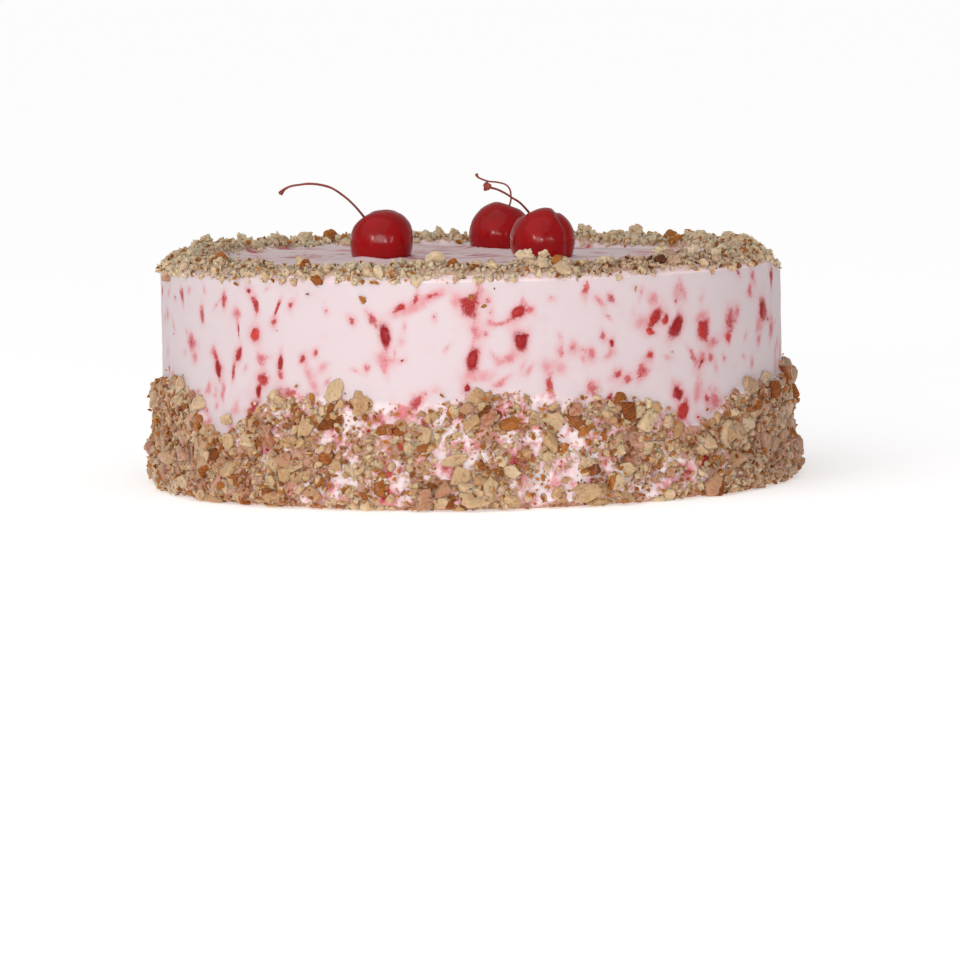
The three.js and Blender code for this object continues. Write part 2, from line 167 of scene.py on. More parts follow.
# Larger nuts that show well: direction in degrees, height on the wall or, as a negative number,
# how far in from the edge of the top, length and breadth in millimetres, tilt in degrees, number
# of cut faces or 0 for a round lump, share of brown skin from 0 to 2, and tint from pale to toasted
SHOWN_NUTS = (
    (6.5, 29.8, 9.4, 5.8, 82, 0, 2.0, 0.15),
    (13.6, 29.9, 10.0, 9.2, 20, 14, 0.0, 0.2),
    (10.5, 32.2, 5.6, 3.8, 0, 10, 0.0, 0.3),
    (18.5, 30.3, 11.4, 5.2, -45, 0, 2.0, 0.45),
    (-8.5, 22.1, 6.4, 5.6, 15, 0, 2.0, 0.3),
    (-3.7, 25.8, 8.2, 4.4, 80, 12, 0.0, 0.2),
    (-7.1, 33.1, 7.2, 4.4, 65, 10, 0.3, 0.45),
    (2.0, 36.1, 6.4, 5.0, 60, 12, 0.0, 0.35),
    (-2.5, 11.8, 8.4, 7.6, 30, 14, 0.0, 0.35),
    (-3.3, 17.8, 10.6, 5.6, 78, 16, 0.0, 0.25),
    (12.5, 19.2, 7.8, 5.6, 10, 0, 0.0, 0.4),
    (4.8, 13.9, 8.2, 4.4, 85, 12, 0.5, 0.3),
    (20.1, 14.5, 8.0, 6.2, 0, 0, 1.0, 0.2),
    (27.7, 31.6, 8.8, 5.0, 5, 14, 0.0, 0.1),
    (26.0, 19.6, 5.8, 5.6, 0, 10, 0.0, 0.15),
    (0.6, 4.6, 12.0, 7.2, 80, 16, 0.0, 0.3),
    (-6.3, 2.8, 9.2, 5.0, 85, 14, 0.0, 0.25),
    (19.9, 5.4, 10.4, 7.2, 80, 14, 0.0, 0.4),
    (27.4, 3.0, 8.2, 5.0, 80, 12, 0.5, 0.45),
    (27.6, 12.0, 8.0, 6.0, 65, 12, 0.0, 0.25),
    (-12.7, 28.3, 5.2, 3.6, 75, 0, 2.0, 0.5),
    (-10.0, 6.7, 6.4, 3.2, 75, 10, 0.3, 0.6),
    (-38.1, 8.0, 6.8, 6.4, 3, 8, 0.0, 0.2),
    (-27.2, 21.3, 7.0, 6.0, 80, 10, 0.0, 0.2),
    (-33.0, 15.4, 9.2, 5.0, 75, 14, 0.0, 0.35),
    (-39.0, 27.3, 7.4, 4.4, 10, 0, 1.0, 0.8),
    (-49.5, 29.6, 6.0, 4.4, 70, 10, 0.0, 0.2),
    (-47.6, 22.9, 7.4, 6.2, 60, 14, 0.0, 0.4),
    (-57.2, 27.7, 6.6, 4.4, -15, 0, 2.0, 0.2),
    (-45.0, 3.2, 8.0, 5.2, 80, 12, 0.0, 0.3),
    (-53.8, 16.0, 7.6, 6.0, -15, 12, 0.0, 0.2),
    (-30.1, 23.8, 5.6, 5.2, 20, 10, 0.0, 0.6),
    (-26.4, 30.3, 9.4, 4.6, 70, 0, 2.0, 0.85),
    (-24.7, 42.3, 9.6, 7.0, 6, 12, 0.0, 0.15),
    (-20.0, 37.5, 9.6, 8.6, 20, 0, 0.4, 0.5),
    (-33.2, 35.1, 5.6, 3.6, 20, 8, 2.0, 0.25),
    (-58.0, 35.1, 7.0, 6.6, 40, 14, 0.0, 0.1),
    (-65.7, 30.0, 6.6, 6.0, 10, 12, 0.0, 0.15),
    (-80.0, 33.2, 8.4, 6.0, 0, 12, 0.0, 0.2),
    (-82.0, 19.3, 6.4, 5.4, 0, 0, 2.0, 0.8),
    (32.6, 30.0, 6.8, 6.4, 0, 0, 0.0, 0.15),
    (29.8, 33.0, 7.2, 5.0, 8, 12, 0.0, 0.1),
    (36.6, 28.0, 6.0, 5.4, 30, 10, 0.0, 0.2),
    (50.6, 22.0, 10.0, 8.0, 20, 14, 0.2, 0.2),
    (66.0, 38.5, 7.6, 6.0, 60, 12, 0.0, 0.0),
    (65.0, 33.0, 7.0, 5.0, -20, 12, 0.0, 0.05),
    (59.0, 29.0, 7.4, 5.0, 10, 12, 0.3, 0.15),
    (75.0, 35.5, 8.0, 6.0, 30, 0, 2.0, 0.7),
    (-149.0, -9.0, 6.4, 7.6, 0, 0, 2.0, 0.1),
    (133.0, -9.0, 6.2, 8.4, 0, 0, 2.0, 0.1),
    (128.0, -8.0, 5.4, 5.6, 0, 0, 1.0, 0.2),
    (-173.8, -8.0, 6.8, 4.4, 0, 10, 0.0, 0.15),
    (-176.7, -8.0, 5.4, 5.0, 0, 10, 0.0, 0.6),
    (-124.4, -8.0, 6.6, 2.4, 20, 8, 0.0, 0.1),
    (155.0, -9.0, 6.4, 9.0, 0, 0, 0.0, 0.3),
    (148.0, -9.0, 5.0, 10.0, 0, 0, 0.3, 0.5),
    (142.0, -9.0, 7.2, 9.6, 0, 0, 0.3, 0.45),
    (123.0, -9.0, 6.0, 13.0, 0, 0, 0.0, 0.25),
    (113.0, -8.0, 6.4, 11.0, 0, 0, 0.2, 0.4),
    (-143.0, -9.0, 5.6, 7.0, 0, 0, 0.0, 0.15),
    (-135.0, -9.0, 5.0, 9.0, 0, 0, 0.2, 0.35),
    (-118.0, -8.0, 5.6, 8.0, 0, 0, 0.2, 0.4),
    (-111.0, -8.0, 6.0, 10.0, 0, 0, 0.0, 0.2),
    (40.0, -9.0, 6.4, 9.0, 20, 0, 0.0, 0.1),
    (58.0, -8.0, 5.0, 7.0, 20, 0, 0.0, 0.15),
    (26.0, -7.0, 4.6, 6.4, 10, 0, 0.0, 0.1),
    (-20.0, -7.0, 4.8, 7.0, 10, 0, 0.0, 0.1),
    (-70.0, -8.0, 5.0, 7.4, 10, 0, 0.0, 0.1),
    (-6.7, -8.0, 9.6, 6.4, 80, 14, 0.0, 0.2),
    (1.0, -9.0, 5.0, 4.2, 70, 10, 0.0, 0.6),
    (-3.3, -6.0, 4.6, 3.8, 50, 0, 2.0, 0.4),
    (10.1, -8.0, 7.4, 6.4, 60, 0, 0.0, 0.05),
    (13.9, -8.0, 6.4, 6.0, 0, 0, 0.0, 0.05),
    (15.8, -3.5, 5.2, 4.2, 60, 0, 2.0, 0.15),
    (46.0, -5.0, 5.2, 4.2, 70, 10, 0.0, 0.0),
    (52.6, -5.0, 5.4, 4.2, 60, 10, 0.0, 0.0),
    (-32.8, -6.0, 7.2, 5.6, 80, 0, 1.0, 0.6),
    (-40.9, -7.0, 5.0, 4.4, 0, 10, 0.0, 0.65),
    (-47.2, -8.0, 5.0, 4.6, 0, 0, 1.0, 0.6),
    (-56.8, -8.0, 8.0, 5.0, 75, 0, 2.0, 0.25),
    (-19.2, 74.0, 3.0, 3.0, 0, 8, 2.0, 0.0),
    (0.1, 74.9, 3.2, 1.5, 5, 8, 2.0, 0.1),
    (2.2, 71.6, 2.6, 1.4, 75, 8, 2.0, 0.15),
)

# Cherries much as the solids have them, in millimetres and degrees: centre from the axis and above
# the top, width, height, lean of the stem end to the right and to the back, how far right the
# crease lies, how far left it curls at the top and how deep it is as shares of the radius, how plump
# from 2 for a ball, and the stem's line from the cherry's centre with its radius and that of its tip
CHERRIES = (
    {
        "name": "left",
        "place": (-33.1, 20, 6.4),
        "width": 24.2,
        "height": 23.0,
        "lean": (-38, 4),
        "crease": (0.5, 0, 0.012),
        "plump": 2.35,
        "stem": ((-6.9, 1, 9.5), (-9.6, 0.4, 12.9), (-13.2, -0.1, 16.5), (-18.1, -0.7, 20),
                 (-22.4, -1.2, 21.4), (-26.7, -1.8, 21.9), (-30.4, -2.3, 21.6), (-33.5, -2.9, 21.2),
                 (-36, -3.4, 20.1), (-37.9, -4, 18.3)),
        "radius": 0.42,
        "tip": 0.95,
    },
    {
        "name": "back",
        "place": (11.5, 72, 5.6),
        "width": 23.6,
        "height": 25.0,
        "lean": (22, 4),
        "crease": (-0.5, 0, 0.01),
        "plump": 2.0,
        "stem": ((3.9, 2, 10.6), (4.5, 3.1, 12.5), (4.6, 4.2, 14.0), (4.3, 5.3, 16.6), (2.6, 6.4, 18.6),
                 (-0.6, 7.6, 19.5), (-3.8, 8.7, 19.8), (-6.2, 9.8, 20.5), (-8, 10.9, 21.4), (-8.6, 12, 22.6)),
        "radius": 0.34,
        "tip": 0.7,
    },
    {
        "name": "front",
        "place": (27.1, -8, 7.0),
        "width": 24.4,
        "height": 24.4,
        "lean": (-24, 6),
        "crease": (0.72, 0.32, 0.085),
        "plump": 2.15,
        "stem": ((-5.6, 2, 11.0), (-8.5, -0.7, 14.3), (-11.3, -3.3, 16.2), (-13.7, -6, 17.9),
                 (-16.8, -8.7, 19.6), (-18.9, -11.3, 20.4), (-20.8, -14, 21.1)),
        "radius": 0.4,
        "tip": 1.8,
    },
)


def length(name, description, default):
    """A length in metres that a user may change."""
    return FloatProperty(name=name, description=description, default=default, unit="LENGTH", precision=4)


def colour(name, description, default):
    """A colour that a user may change."""
    return FloatVectorProperty(
        name=name, description=description, default=default, subtype="COLOR", size=3, min=0, max=1
    )


# What a user may change


class CakeSizes(bpy.types.PropertyGroup):
    """Sizes of the cake and of what is on it."""

    radius: length("Radius", "From the cake's axis to its wall", 0.115)
    height: length("Height", "From the base to the top", 0.081)
    edge: length("Edge", "Rounding between the wall and the top", 0.0014)
    band: length("Nut band", "Height of the nut band on the foot of the wall", 0.039)
    ring: length("Nut ring", "Width of the nut ring on the rim", 0.018)
    seed: IntProperty(name="Seed", description="Where nuts and bits of cherry fall", default=7)


class CakeColours(bpy.types.PropertyGroup):
    """Colours of the cake and of what is on it."""

    frosting: colour("Frosting", "Pale pink frosting", (0.625, 0.53, 0.547))
    # Painted light: the top and the frosting between nuts take this paler colour in place of the light they
    # catch
    painted_light_frosting: colour("Bright frosting", "Frosting of the top and between nuts", (0.83, 0.71, 0.72))
    juice: colour("Juice", "Frosting stained by cherry juice", (0.62, 0.20, 0.215))
    bit: colour("Cherry bit", "Darkest chopped cherry", (0.25, 0.008, 0.012))
    bright_bit: colour("Bright bit", "Brightest chopped cherry", (0.52, 0.045, 0.034))
    veiled_bit: colour("Veiled bit", "Chopped cherry under a film of frosting", (0.56, 0.15, 0.165))
    kernel: colour("Kernel", "Palest cut face of a nut", (0.575, 0.43, 0.272))
    cream: colour("Cream", "Common cut face of a nut", (0.49, 0.335, 0.195))
    honey: colour("Honey", "Golden cut face of a nut", (0.435, 0.255, 0.122))
    peach: colour("Peach", "Warm cut face of a nut", (0.435, 0.235, 0.157))
    toasted: colour("Toasted", "Darkest cut face of a nut", (0.31, 0.105, 0.042))
    rim_kernel: colour("Rim kernel", "Greyer cut face of a nut on the rim", (0.605, 0.50, 0.357))
    meal: colour("Nut meal", "Ground nut between the pieces", (0.50, 0.265, 0.18))
    # Painted shade: nuts round the left and right sides of the band are mixed toward this darker colour
    painted_shade_kernel: colour("Dull kernel", "Nut smeared with frosting round the sides", (0.29, 0.19, 0.195))
    skin: colour("Nut skin", "Light brown skin of a nut", (0.39, 0.153, 0.037))
    brown: colour("Brown skin", "Common skin of a nut", (0.23, 0.064, 0.014))
    dark_skin: colour("Dark skin", "Darkest skin of a nut", (0.09, 0.029, 0.013))
    cherry: colour("Cherry", "Skin of a preserved cherry", (0.335, 0.0022, 0.004))
    stem: colour("Stem", "Stem of a cherry", (0.15, 0.022, 0.014))
    floor: colour("Floor", "Plain pale floor", (0.93, 0.92, 0.92))


# Node trees


class Wire:
    """An output of a node, with operators that add Math nodes to its tree."""

    def __init__(self, graph, output):
        self.graph = graph
        self.output = output

    def math(self, operation, *values):
        """A Math node with those values or wires."""
        return self.graph.node("ShaderNodeMath", {"operation": operation}, dict(enumerate(values)))

    def __add__(self, other):
        return self.math("ADD", self, other)

    def __sub__(self, other):
        return self.math("SUBTRACT", self, other)

    def __rsub__(self, other):
        return self.math("SUBTRACT", other, self)

    def __mul__(self, other):
        return self.math("MULTIPLY", self, other)

    def __truediv__(self, other):
        return self.math("DIVIDE", self, other)

    def __rtruediv__(self, other):
        return self.math("DIVIDE", other, self)

    def __pow__(self, other):
        return self.math("POWER", self, other)

    __radd__ = __add__
    __rmul__ = __mul__

    def most(self, other):
        """The larger of two values."""
        return self.math("MAXIMUM", self, other)

    def sine(self):
        return self.math("SINE", self)

    def between(self, low, high):
        """0 up to low, 1 from high, and smooth from one to the other."""
        ends = {"From Min": low, "From Max": high, "To Min": 0.0, "To Max": 1.0}
        return self.graph.node(
            "ShaderNodeMapRange", {"interpolation_type": "SMOOTHSTEP"}, {"Value": self, **ends}
        )


class Graph:
    """A node tree to which nodes are added in one way."""

    def __init__(self, tree):
        self.tree = tree

    def node(self, kind, settings=None, sockets=None, output=None):
        """Adds a node: its settings come first, then the values or wires of its sockets. A socket
        is named, or numbered where two share a name."""
        made = self.tree.nodes.new(kind)
        for key, value in (settings or {}).items():
            if key == "stops":
                self.set_stops(made.color_ramp, value)
            else:
                setattr(made, key, value)
        for key, value in (sockets or {}).items():
            socket = self.socket(made.inputs, key)
            if isinstance(value, Wire):
                self.tree.links.new(value.output, socket)
            else:
                socket.default_value = value
        if not made.outputs:
            return made
        return Wire(self, self.socket(made.outputs, 0 if output is None else output))

    @staticmethod
    def socket(sockets, key):
        """A node's socket in use, by its name or its number among those in use."""
        used = [s for s in sockets if s.enabled]
        if isinstance(key, int):
            return used[key]
        return next(s for s in used if s.name == key)

    @staticmethod
    def set_stops(ramp, stops):
        """Gives a colour ramp its stops, each a place from 0 to 1 and a colour."""
        while len(ramp.elements) < len(stops):
            ramp.elements.new(1)
        for element, (place, tone) in zip(ramp.elements, stops):
            element.position = place
            element.color = (*tone, 1)


class Finish(Graph):
    """A material whose surface is one Principled shader."""

    def __init__(self, name, **constants):
        self.material = bpy.data.materials.new(name)
        self.material.use_nodes = True
        super().__init__(self.material.node_tree)
        self.tree.nodes.clear()
        self.shader = self.tree.nodes.new("ShaderNodeBsdfPrincipled")
        out = self.tree.nodes.new("ShaderNodeOutputMaterial")
        self.tree.links.new(self.shader.outputs["BSDF"], out.inputs["Surface"])
        for socket, value in constants.items():
            self.shader.inputs[socket.replace("_", " ")].default_value = value
        self.place = self.node("ShaderNodeTexCoord", output="Object")

    def feed(self, socket, wire):
        """Links a wire to an input of the shader."""
        self.tree.links.new(wire.output, self.shader.inputs[socket])

    def soften(self, weight, reach):
        """Lets light scatter under the surface, that far in metres for red, green and blue."""
        for socket, value in (("Weight", weight), ("Radius", reach), ("Scale", 1.0)):
            self.shader.inputs["Subsurface " + socket].default_value = value

    def axis(self, name):
        """How far the place lies along X, Y or Z, in metres."""
        return self.node("ShaderNodeSeparateXYZ", None, {"Vector": self.place}, name)

    def attribute(self, name):
        """A number that the mesh keeps under that name."""
        return self.node("ShaderNodeAttribute", {"attribute_name": name}, output="Fac")

    def noise(self, size, detail, roughness, distortion=0.0):
        """Cloudy noise from 0 to 1 with features of about that size in metres."""
        sockets = {"Vector": self.place, "Scale": 1 / size, "Detail": detail}
        sockets |= {"Roughness": roughness, "Distortion": distortion}
        return self.node("ShaderNodeTexNoise", None, sockets)

    def mix(self, share, first, second):
        """A colour between two, each a wire or a colour from 0 to 1."""
        tones = [t if isinstance(t, Wire) else (*t, 1) for t in (first, second)]
        sockets = {"Factor": share, "A": tones[0], "B": tones[1]}
        return self.node("ShaderNodeMix", {"data_type": "RGBA"}, sockets)

    def bump(self, height, strength, distance):
        """Lets a height from 0 to 1 catch the light as relief of that many metres."""
        sockets = {"Height": height, "Strength": strength, "Distance": distance}
        self.feed("Normal", self.node("ShaderNodeBump", None, sockets))


class Strewer(Graph):
    """A Geometry Nodes tree with named inputs."""

    KINDS = {
        float: "NodeSocketFloat",
        int: "NodeSocketInt",
        str: "NodeSocketString",
        bpy.types.Collection: "NodeSocketCollection",
        bpy.types.Material: "NodeSocketMaterial",
    }

    def __init__(self, name, inputs):
        super().__init__(bpy.data.node_groups.new(name, "GeometryNodeTree"))
        self.inputs = inputs
        face = self.tree.interface
        face.new_socket("Geometry", in_out="INPUT", socket_type="NodeSocketGeometry")
        face.new_socket("Geometry", in_out="OUTPUT", socket_type="NodeSocketGeometry")
        self.identifiers = {
            key: face.new_socket(key, in_out="INPUT", socket_type=self.KINDS[type(value)]).identifier
            for key, value in inputs.items()
        }
        self.entry = self.tree.nodes.new("NodeGroupInput")

    def input(self, name):
        """An input of the tree."""
        return Wire(self, self.entry.outputs[name])

    def random(self, low, high, salt, kind="FLOAT"):
        """A random value for each point; salt keeps one draw apart from another."""
        sockets = {"Min": low, "Max": high, "Seed": self.input("Seed") + salt}
        return self.node("FunctionNodeRandomValue", {"data_type": kind}, sockets)

    def instances(self, points, variety, turn, scale):
        """One of the shapes at random on each point."""
        sockets = {"Collection": self.input("Shapes"), "Separate Children": True, "Reset Children": True}
        shapes = self.node("GeometryNodeCollectionInfo", None, sockets)
        sockets = {
            "Points": points,
            "Instance": shapes,
            "Pick Instance": True,
            "Instance Index": self.random(0, variety - 1, 6, "INT"),
            "Rotation": turn,
            "Scale": scale,
        }
        return self.node("GeometryNodeInstanceOnPoints", None, sockets)

    def end(self, instances):
        """Realizes the instances and gives them their material."""
        real = self.node("GeometryNodeRealizeInstances", None, {"Geometry": instances})
        done = self.node(
            "GeometryNodeSetMaterial", None, {"Geometry": real, "Material": self.input("Material")}
        )
        self.node("NodeGroupOutput", None, {0: done})

    def run(self, mesh, name):
        """The plain mesh that the tree makes from a mesh."""
        carrier = placed(name + "_carrier", mesh)
        modifier = carrier.modifiers.new(name, "NODES")
        modifier.node_group = self.tree
        for key, value in self.inputs.items():
            modifier[self.identifiers[key]] = value
        evaluated = carrier.evaluated_get(bpy.context.evaluated_depsgraph_get())
        made = bpy.data.meshes.new_from_object(evaluated)
        made.name = name
        carrier.modifiers.remove(modifier)
        bpy.data.objects.remove(carrier)
        bpy.data.node_groups.remove(self.tree)
        return made


# Meshes and pieces


def mesh_of(name, points, faces):
    """A smooth mesh from arrays."""
    mesh = bpy.data.meshes.new(name)
    mesh.from_pydata([tuple(p) for p in points], [], [tuple(f) for f in faces])
    mesh.shade_smooth()
    mesh.update()
    return mesh


def placed(name, data):
    """A new object of the scene."""
    made = bpy.data.objects.new(name, data)
    bpy.context.scene.collection.objects.link(made)
    return made


def set_values(mesh, name, values):
    """A number for each vertex, kept on the mesh under that name."""
    layer = mesh.attributes.new(name, "FLOAT", "POINT")
    layer.data.foreach_set("value", np.asarray(values, np.float32))


def piece_of(mesh, name, material, slot, *nodes):
    """A finished piece of the cake, standing for the named solids."""
    piece = placed(name, mesh)
    mesh.materials.clear()
    mesh.materials.append(material)
    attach(piece, BODY)
    if nodes:
        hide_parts(*nodes)
    return piece


def cloud(point, size):
    """Smooth noise from about -1 to 1 with features of that size."""
    return noise.noise(Vector(point) / size)


def bell(distance, half):
    """1 at no distance, dying away over about half."""
    return math.exp(-((distance / half) ** 2))


def ease(value, low, high):
    """0 up to low, 1 from high, and smooth from one to the other."""
    share = min(max((value - low) / (high - low), 0.0), 1.0)
    return share * share * (3 - 2 * share)


def ease_array(values, low, high):
    """The same for an array."""
    share = np.clip((values - low) / (high - low), 0, 1)
    return share * share * (3 - 2 * share)


def turn_between(first, second):
    """Angle from one direction to another, the short way round."""
    return math.atan2(math.sin(second - first), math.cos(second - first))


def bumps(direction, rows):
    """The height there of rounded bumps, each with its direction in degrees, its height in
    millimetres and its half width in degrees."""
    return sum(
        high * MM * bell(turn_between(math.radians(at), direction), math.radians(half))
        for at, high, half in rows
    )


def swells(point, *waves):
    """Smooth noise in which each wave has a height and a size in millimetres."""
    return sum(high * MM * cloud(point, size * MM) for high, size in waves)


def around(direction, radius, height):
    """A point by its direction from the front, its distance from the axis and its height."""
    return Vector((radius * math.sin(direction), -radius * math.cos(direction), height))


# Frosting

FROSTING_SCATTER = (3.5 * MM, 1.8 * MM, 1.8 * MM)  # how far red, green and blue light go inside it
WALL_COLUMNS = 768
FEWEST_COLUMNS = 24
WALL_ROWS = 84
EDGE_ROWS = 4
RIM_STEP = 1.3 * MM
RIM_MARGIN = 5 * MM  # fine rows go on this far inside the ring
TOP_STEP = 2.2 * MM
CENTRE_RADIUS = 3 * MM
TOP_SLOPE = 0.006  # the top rises a little to the right
TOP_TWIST = 0.36  # and falls to the right at the back, per metre either way
BAND_WAVE = 2 * MM
BAND_WAVES = 9  # how many times the upper edge of the band rises and falls on its way round
HEAPED_TURN = (math.radians(24), math.radians(62))  # nuts lie thicker that far round from the front
RING_INSIDE = (-1.5 * MM, 4 * MM)  # nuts thin out over this much of the ring's inner edge
RING_OUTSIDE = (-0.3 * MM, 0.3 * MM)
BARE_DENT = (2.5 * MM, 5 * MM)  # an edge that sinks as deep as this keeps no nuts
DENT_REACH = 14 * MM  # dents reach this far down the wall and in on the top
COLLAR_HEIGHT, COLLAR_WIDTH = 1.5 * MM, 2.4 * MM
KNIFE_MARK = 2.4 * MM  # height of a mark of the knife on the wall
STROKE_LENGTH, STROKE_WIDTH = 38 * MM, 5.5 * MM  # strokes of the knife on the top
BED_HEIGHT = 3 * MM  # nut meal and frosting heaped under the ring
BED_SLOPE = (0.4 * MM, 4.5 * MM)  # the bed rises over this distance in from the edge
FLARE_HEIGHT, TUCK_HEIGHT = 5 * MM, 3.5 * MM  # where the foot flares out and is tucked in
BROWNED_RIM = math.radians(38)  # where the nuts of the ring are brownest
BROWNED_HALF = math.radians(24)
# Painted light: the ring's nuts are tinted paler from the sides to the back, lifting the shade that part of
# the ring falls in
PAINTED_LIGHT_BACK_RIM = (math.radians(90), math.radians(140))  # they get paler from the sides to the back
LEAST_FACING = 0.01  # the top isn't felt where a row faces up less than this, nor the wall out
WALL_UP, TOP_UP = 0.1, 0.3  # how far the plain wall and the plain top face up, at most and at least
SPARSE = 0.001  # a crumb here and there
EDGE_CRUMBS = {"crumbs": 0.03, "flakes": 0.03}
STREWING = ("heap", "toast", "chips", "lumps", "grains", "crumbs", "flakes")  # for strewing alone
NUT_COVER = ("band", "meal", "rim", *STREWING)


def band_edge(direction, sizes):
    """Upper edge of the nut band."""
    wave = BAND_WAVE * math.sin(BAND_WAVES * direction + 0.6)
    return sizes.band + wave - bumps(direction, BAND_DIPS)


def heaped(direction):
    """0 on the front of the band, 1 round its sides and back where nuts lie thicker."""
    return ease(abs(turn_between(math.radians(2), direction)), *HEAPED_TURN)


def in_ring(direction, reach, sizes):
    """1 well inside the nut ring, by the distance in from the edge."""
    compass = around(direction, 1, 0)
    inner = sizes.ring + 3 * MM * cloud(compass, 0.12) + 1.5 * MM * cloud(compass, 0.04)
    sunk = edge_dent(direction, sizes.height, reach, sizes)
    kept = ease(reach, *RING_OUTSIDE) * (1 - ease(sunk, *BARE_DENT))
    return ease(inner - reach, *RING_INSIDE) * kept


def edge_dent(direction, height, reach, sizes):
    """How far the edge of the top sinks in some directions."""
    near_top = ease(height, sizes.height - DENT_REACH, sizes.height)
    return bumps(direction, EDGE_DENTS) * near_top * (1 - ease(reach, 0, DENT_REACH))


def collar(point):
    """Frosting pushed up round the foot of each cherry."""
    rise = 0.0
    for cherry in CHERRIES:
        x, y, above = (v * MM for v in cherry["place"])
        foot = math.sqrt((cherry["width"] / 2 * MM) ** 2 - above**2)
        away = math.hypot(point.x - x, point.y - y) - foot
        uneven = 0.7 + 0.8 * cloud(point, 9 * MM)
        rise += COLLAR_HEIGHT * uneven * bell(away - 0.4 * MM, COLLAR_WIDTH)
    return rise


def top_tilt(point):
    """How much higher the top lies there than a level one."""
    return point.x * (TOP_SLOPE - TOP_TWIST * max(point.y, 0))


def wall_lift(point, direction, sizes):
    """How far the frosting stands off a plain wall: swells, marks of the knife, lumps in the nut
    band, and a foot that flares out and is tucked in under itself."""
    marks = 0.07 * MM * cloud((direction * 4, point.z / KNIFE_MARK, 3.7), 1)
    torn = noise.turbulence(point / (6.5 * MM), 3, False)
    lumps = (2.3 * torn - 0.2 + 2.4 * heaped(direction)) * MM + swells(point, (0.6, 2.2))
    in_band = ease(band_edge(direction, sizes) - point.z, -1.5 * MM, 2.5 * MM)
    wave = cloud(point, 13 * MM)
    flare = (1.6 + 2 * wave) * MM * bell(point.z - FLARE_HEIGHT, FLARE_HEIGHT)
    tuck = (4 + 2 * wave) * MM * (1 - ease(point.z, 0, TUCK_HEIGHT))
    return swells(point, (0.32, 45), (0.13, 13)) + marks + in_band * lumps + flare - tuck


def top_lift(point, direction, sizes):
    """How far the frosting stands off a plain top: strokes of the knife, the bed of nuts on the
    rim and the collars round the cherries."""
    reach = sizes.radius - math.hypot(point.x, point.y)
    ring = in_ring(direction, reach, sizes)
    strokes = 0.4 * MM * cloud((point.x / STROKE_LENGTH, point.y / STROKE_WIDTH, 1.3), 1)
    strokes += swells(point, (0.3, 22))
    heaps = bumps(direction, RIM_HEAPS) + swells(point, (1.6, 17), (1.5, 7), (0.7, 3))
    bed = ring * ease(reach, *BED_SLOPE) * (BED_HEIGHT + heaps)
    return strokes + collar(point) * (1 - ring) + bed


def toasted(point):
    """How much more or less toasted the nuts are in places."""
    return 0.3 * cloud(point, 30 * MM) + 0.5 * cloud(point, 10 * MM)


def wall_cover(point, direction, sizes):
    """How nuts lie on a spot of the wall: thinner and in patches on the front of the band, thicker
    round its sides, with stray crumbs above it and under the edge of the top."""
    patchy, side = cloud(point, 13 * MM), heaped(direction)
    below = band_edge(direction, sizes) + swells(point, (2.4, 6), (1.2, 2.5)) - point.z
    band = ease(below, -1 * MM, 1.5 * MM)
    laid = band * ease(point.z, 0, 1 * MM)
    thick = laid * ease(patchy + 0.9 * side, -0.25, 0.25)
    tufts = ease(cloud(point, 7 * MM), -0.15, 0.4)
    strays = ease(below, -8 * MM, 0) ** 3
    fallen = max(0.02 * ease(point.z, sizes.height - 8 * MM, sizes.height - 2 * MM), SPARSE)
    foot = 1 - ease(point.z, 0, 4 * MM)
    return {
        "band": band,
        "meal": band * (0.4 + 0.35 * side + 0.6 * patchy + 0.5 * foot),
        "heap": laid * (0.2 + 0.7 * side) * MM,
        "toast": 0.05 * side + toasted(point),
        "chips": laid * (0.3 + 0.3 * side) + 0.55 * thick,
        "lumps": laid * (0.1 + 0.7 * side),
        "grains": (0.25 * laid + 0.75 * thick) * (1 - 0.4 * side),
        "crumbs": max((laid * 0.35 + thick * 0.65) * (1 - 0.3 * side), 0.1 * strays, fallen),
        "flakes": max(laid * (0.4 + 0.6 * tufts), 0.09 * strays, fallen),
    }


def top_cover(point, direction, sizes):
    """How nuts lie on a spot of the top: in the ring, with crumbs fallen inside it."""
    reach = sizes.radius - math.hypot(point.x, point.y)
    ring = in_ring(direction, reach, sizes)
    inside = ease(sizes.ring + 7 * MM - reach, 0, 7 * MM) ** 2
    browned = bell(turn_between(BROWNED_RIM, direction), BROWNED_HALF)
    return {
        "meal": ring * ease(reach, 1 * MM, 3 * MM),
        "rim": 0.7 * ring,
        "heap": ring * 1.1 * MM,
        # Real toasting plus painted light: the last term tints the ring's nuts paler toward the back,
        # standing in for light
        "toast": 0.8 * toasted(point) + 0.65 * browned - 0.7 * ease(abs(direction), *PAINTED_LIGHT_BACK_RIM),
        "chips": 0.1 * ring,
        "lumps": 0.75 * ring,
        "grains": 0.6 * ring,
        "crumbs": max(0.3 * ring, 0.07 * inside),
        "flakes": ring * (0.1 + 0.3 * ease(cloud(point, 9 * MM), 0, 0.5)),
    }


def nut_cover(point, direction, up, sizes):
    """How nuts lie on a spot of the frosting, by the names of NUT_COVER: the shares of the band, of nut meal
    and of the rim, how far nuts heap up, how toasted they are together with painted light that pales the back
    of the rim, and how thick each kind of them lies. What is left out is 0."""
    if up < WALL_UP:
        return wall_cover(point, direction, sizes)
    if up > TOP_UP:
        return top_cover(point, direction, sizes)
    return EDGE_CRUMBS


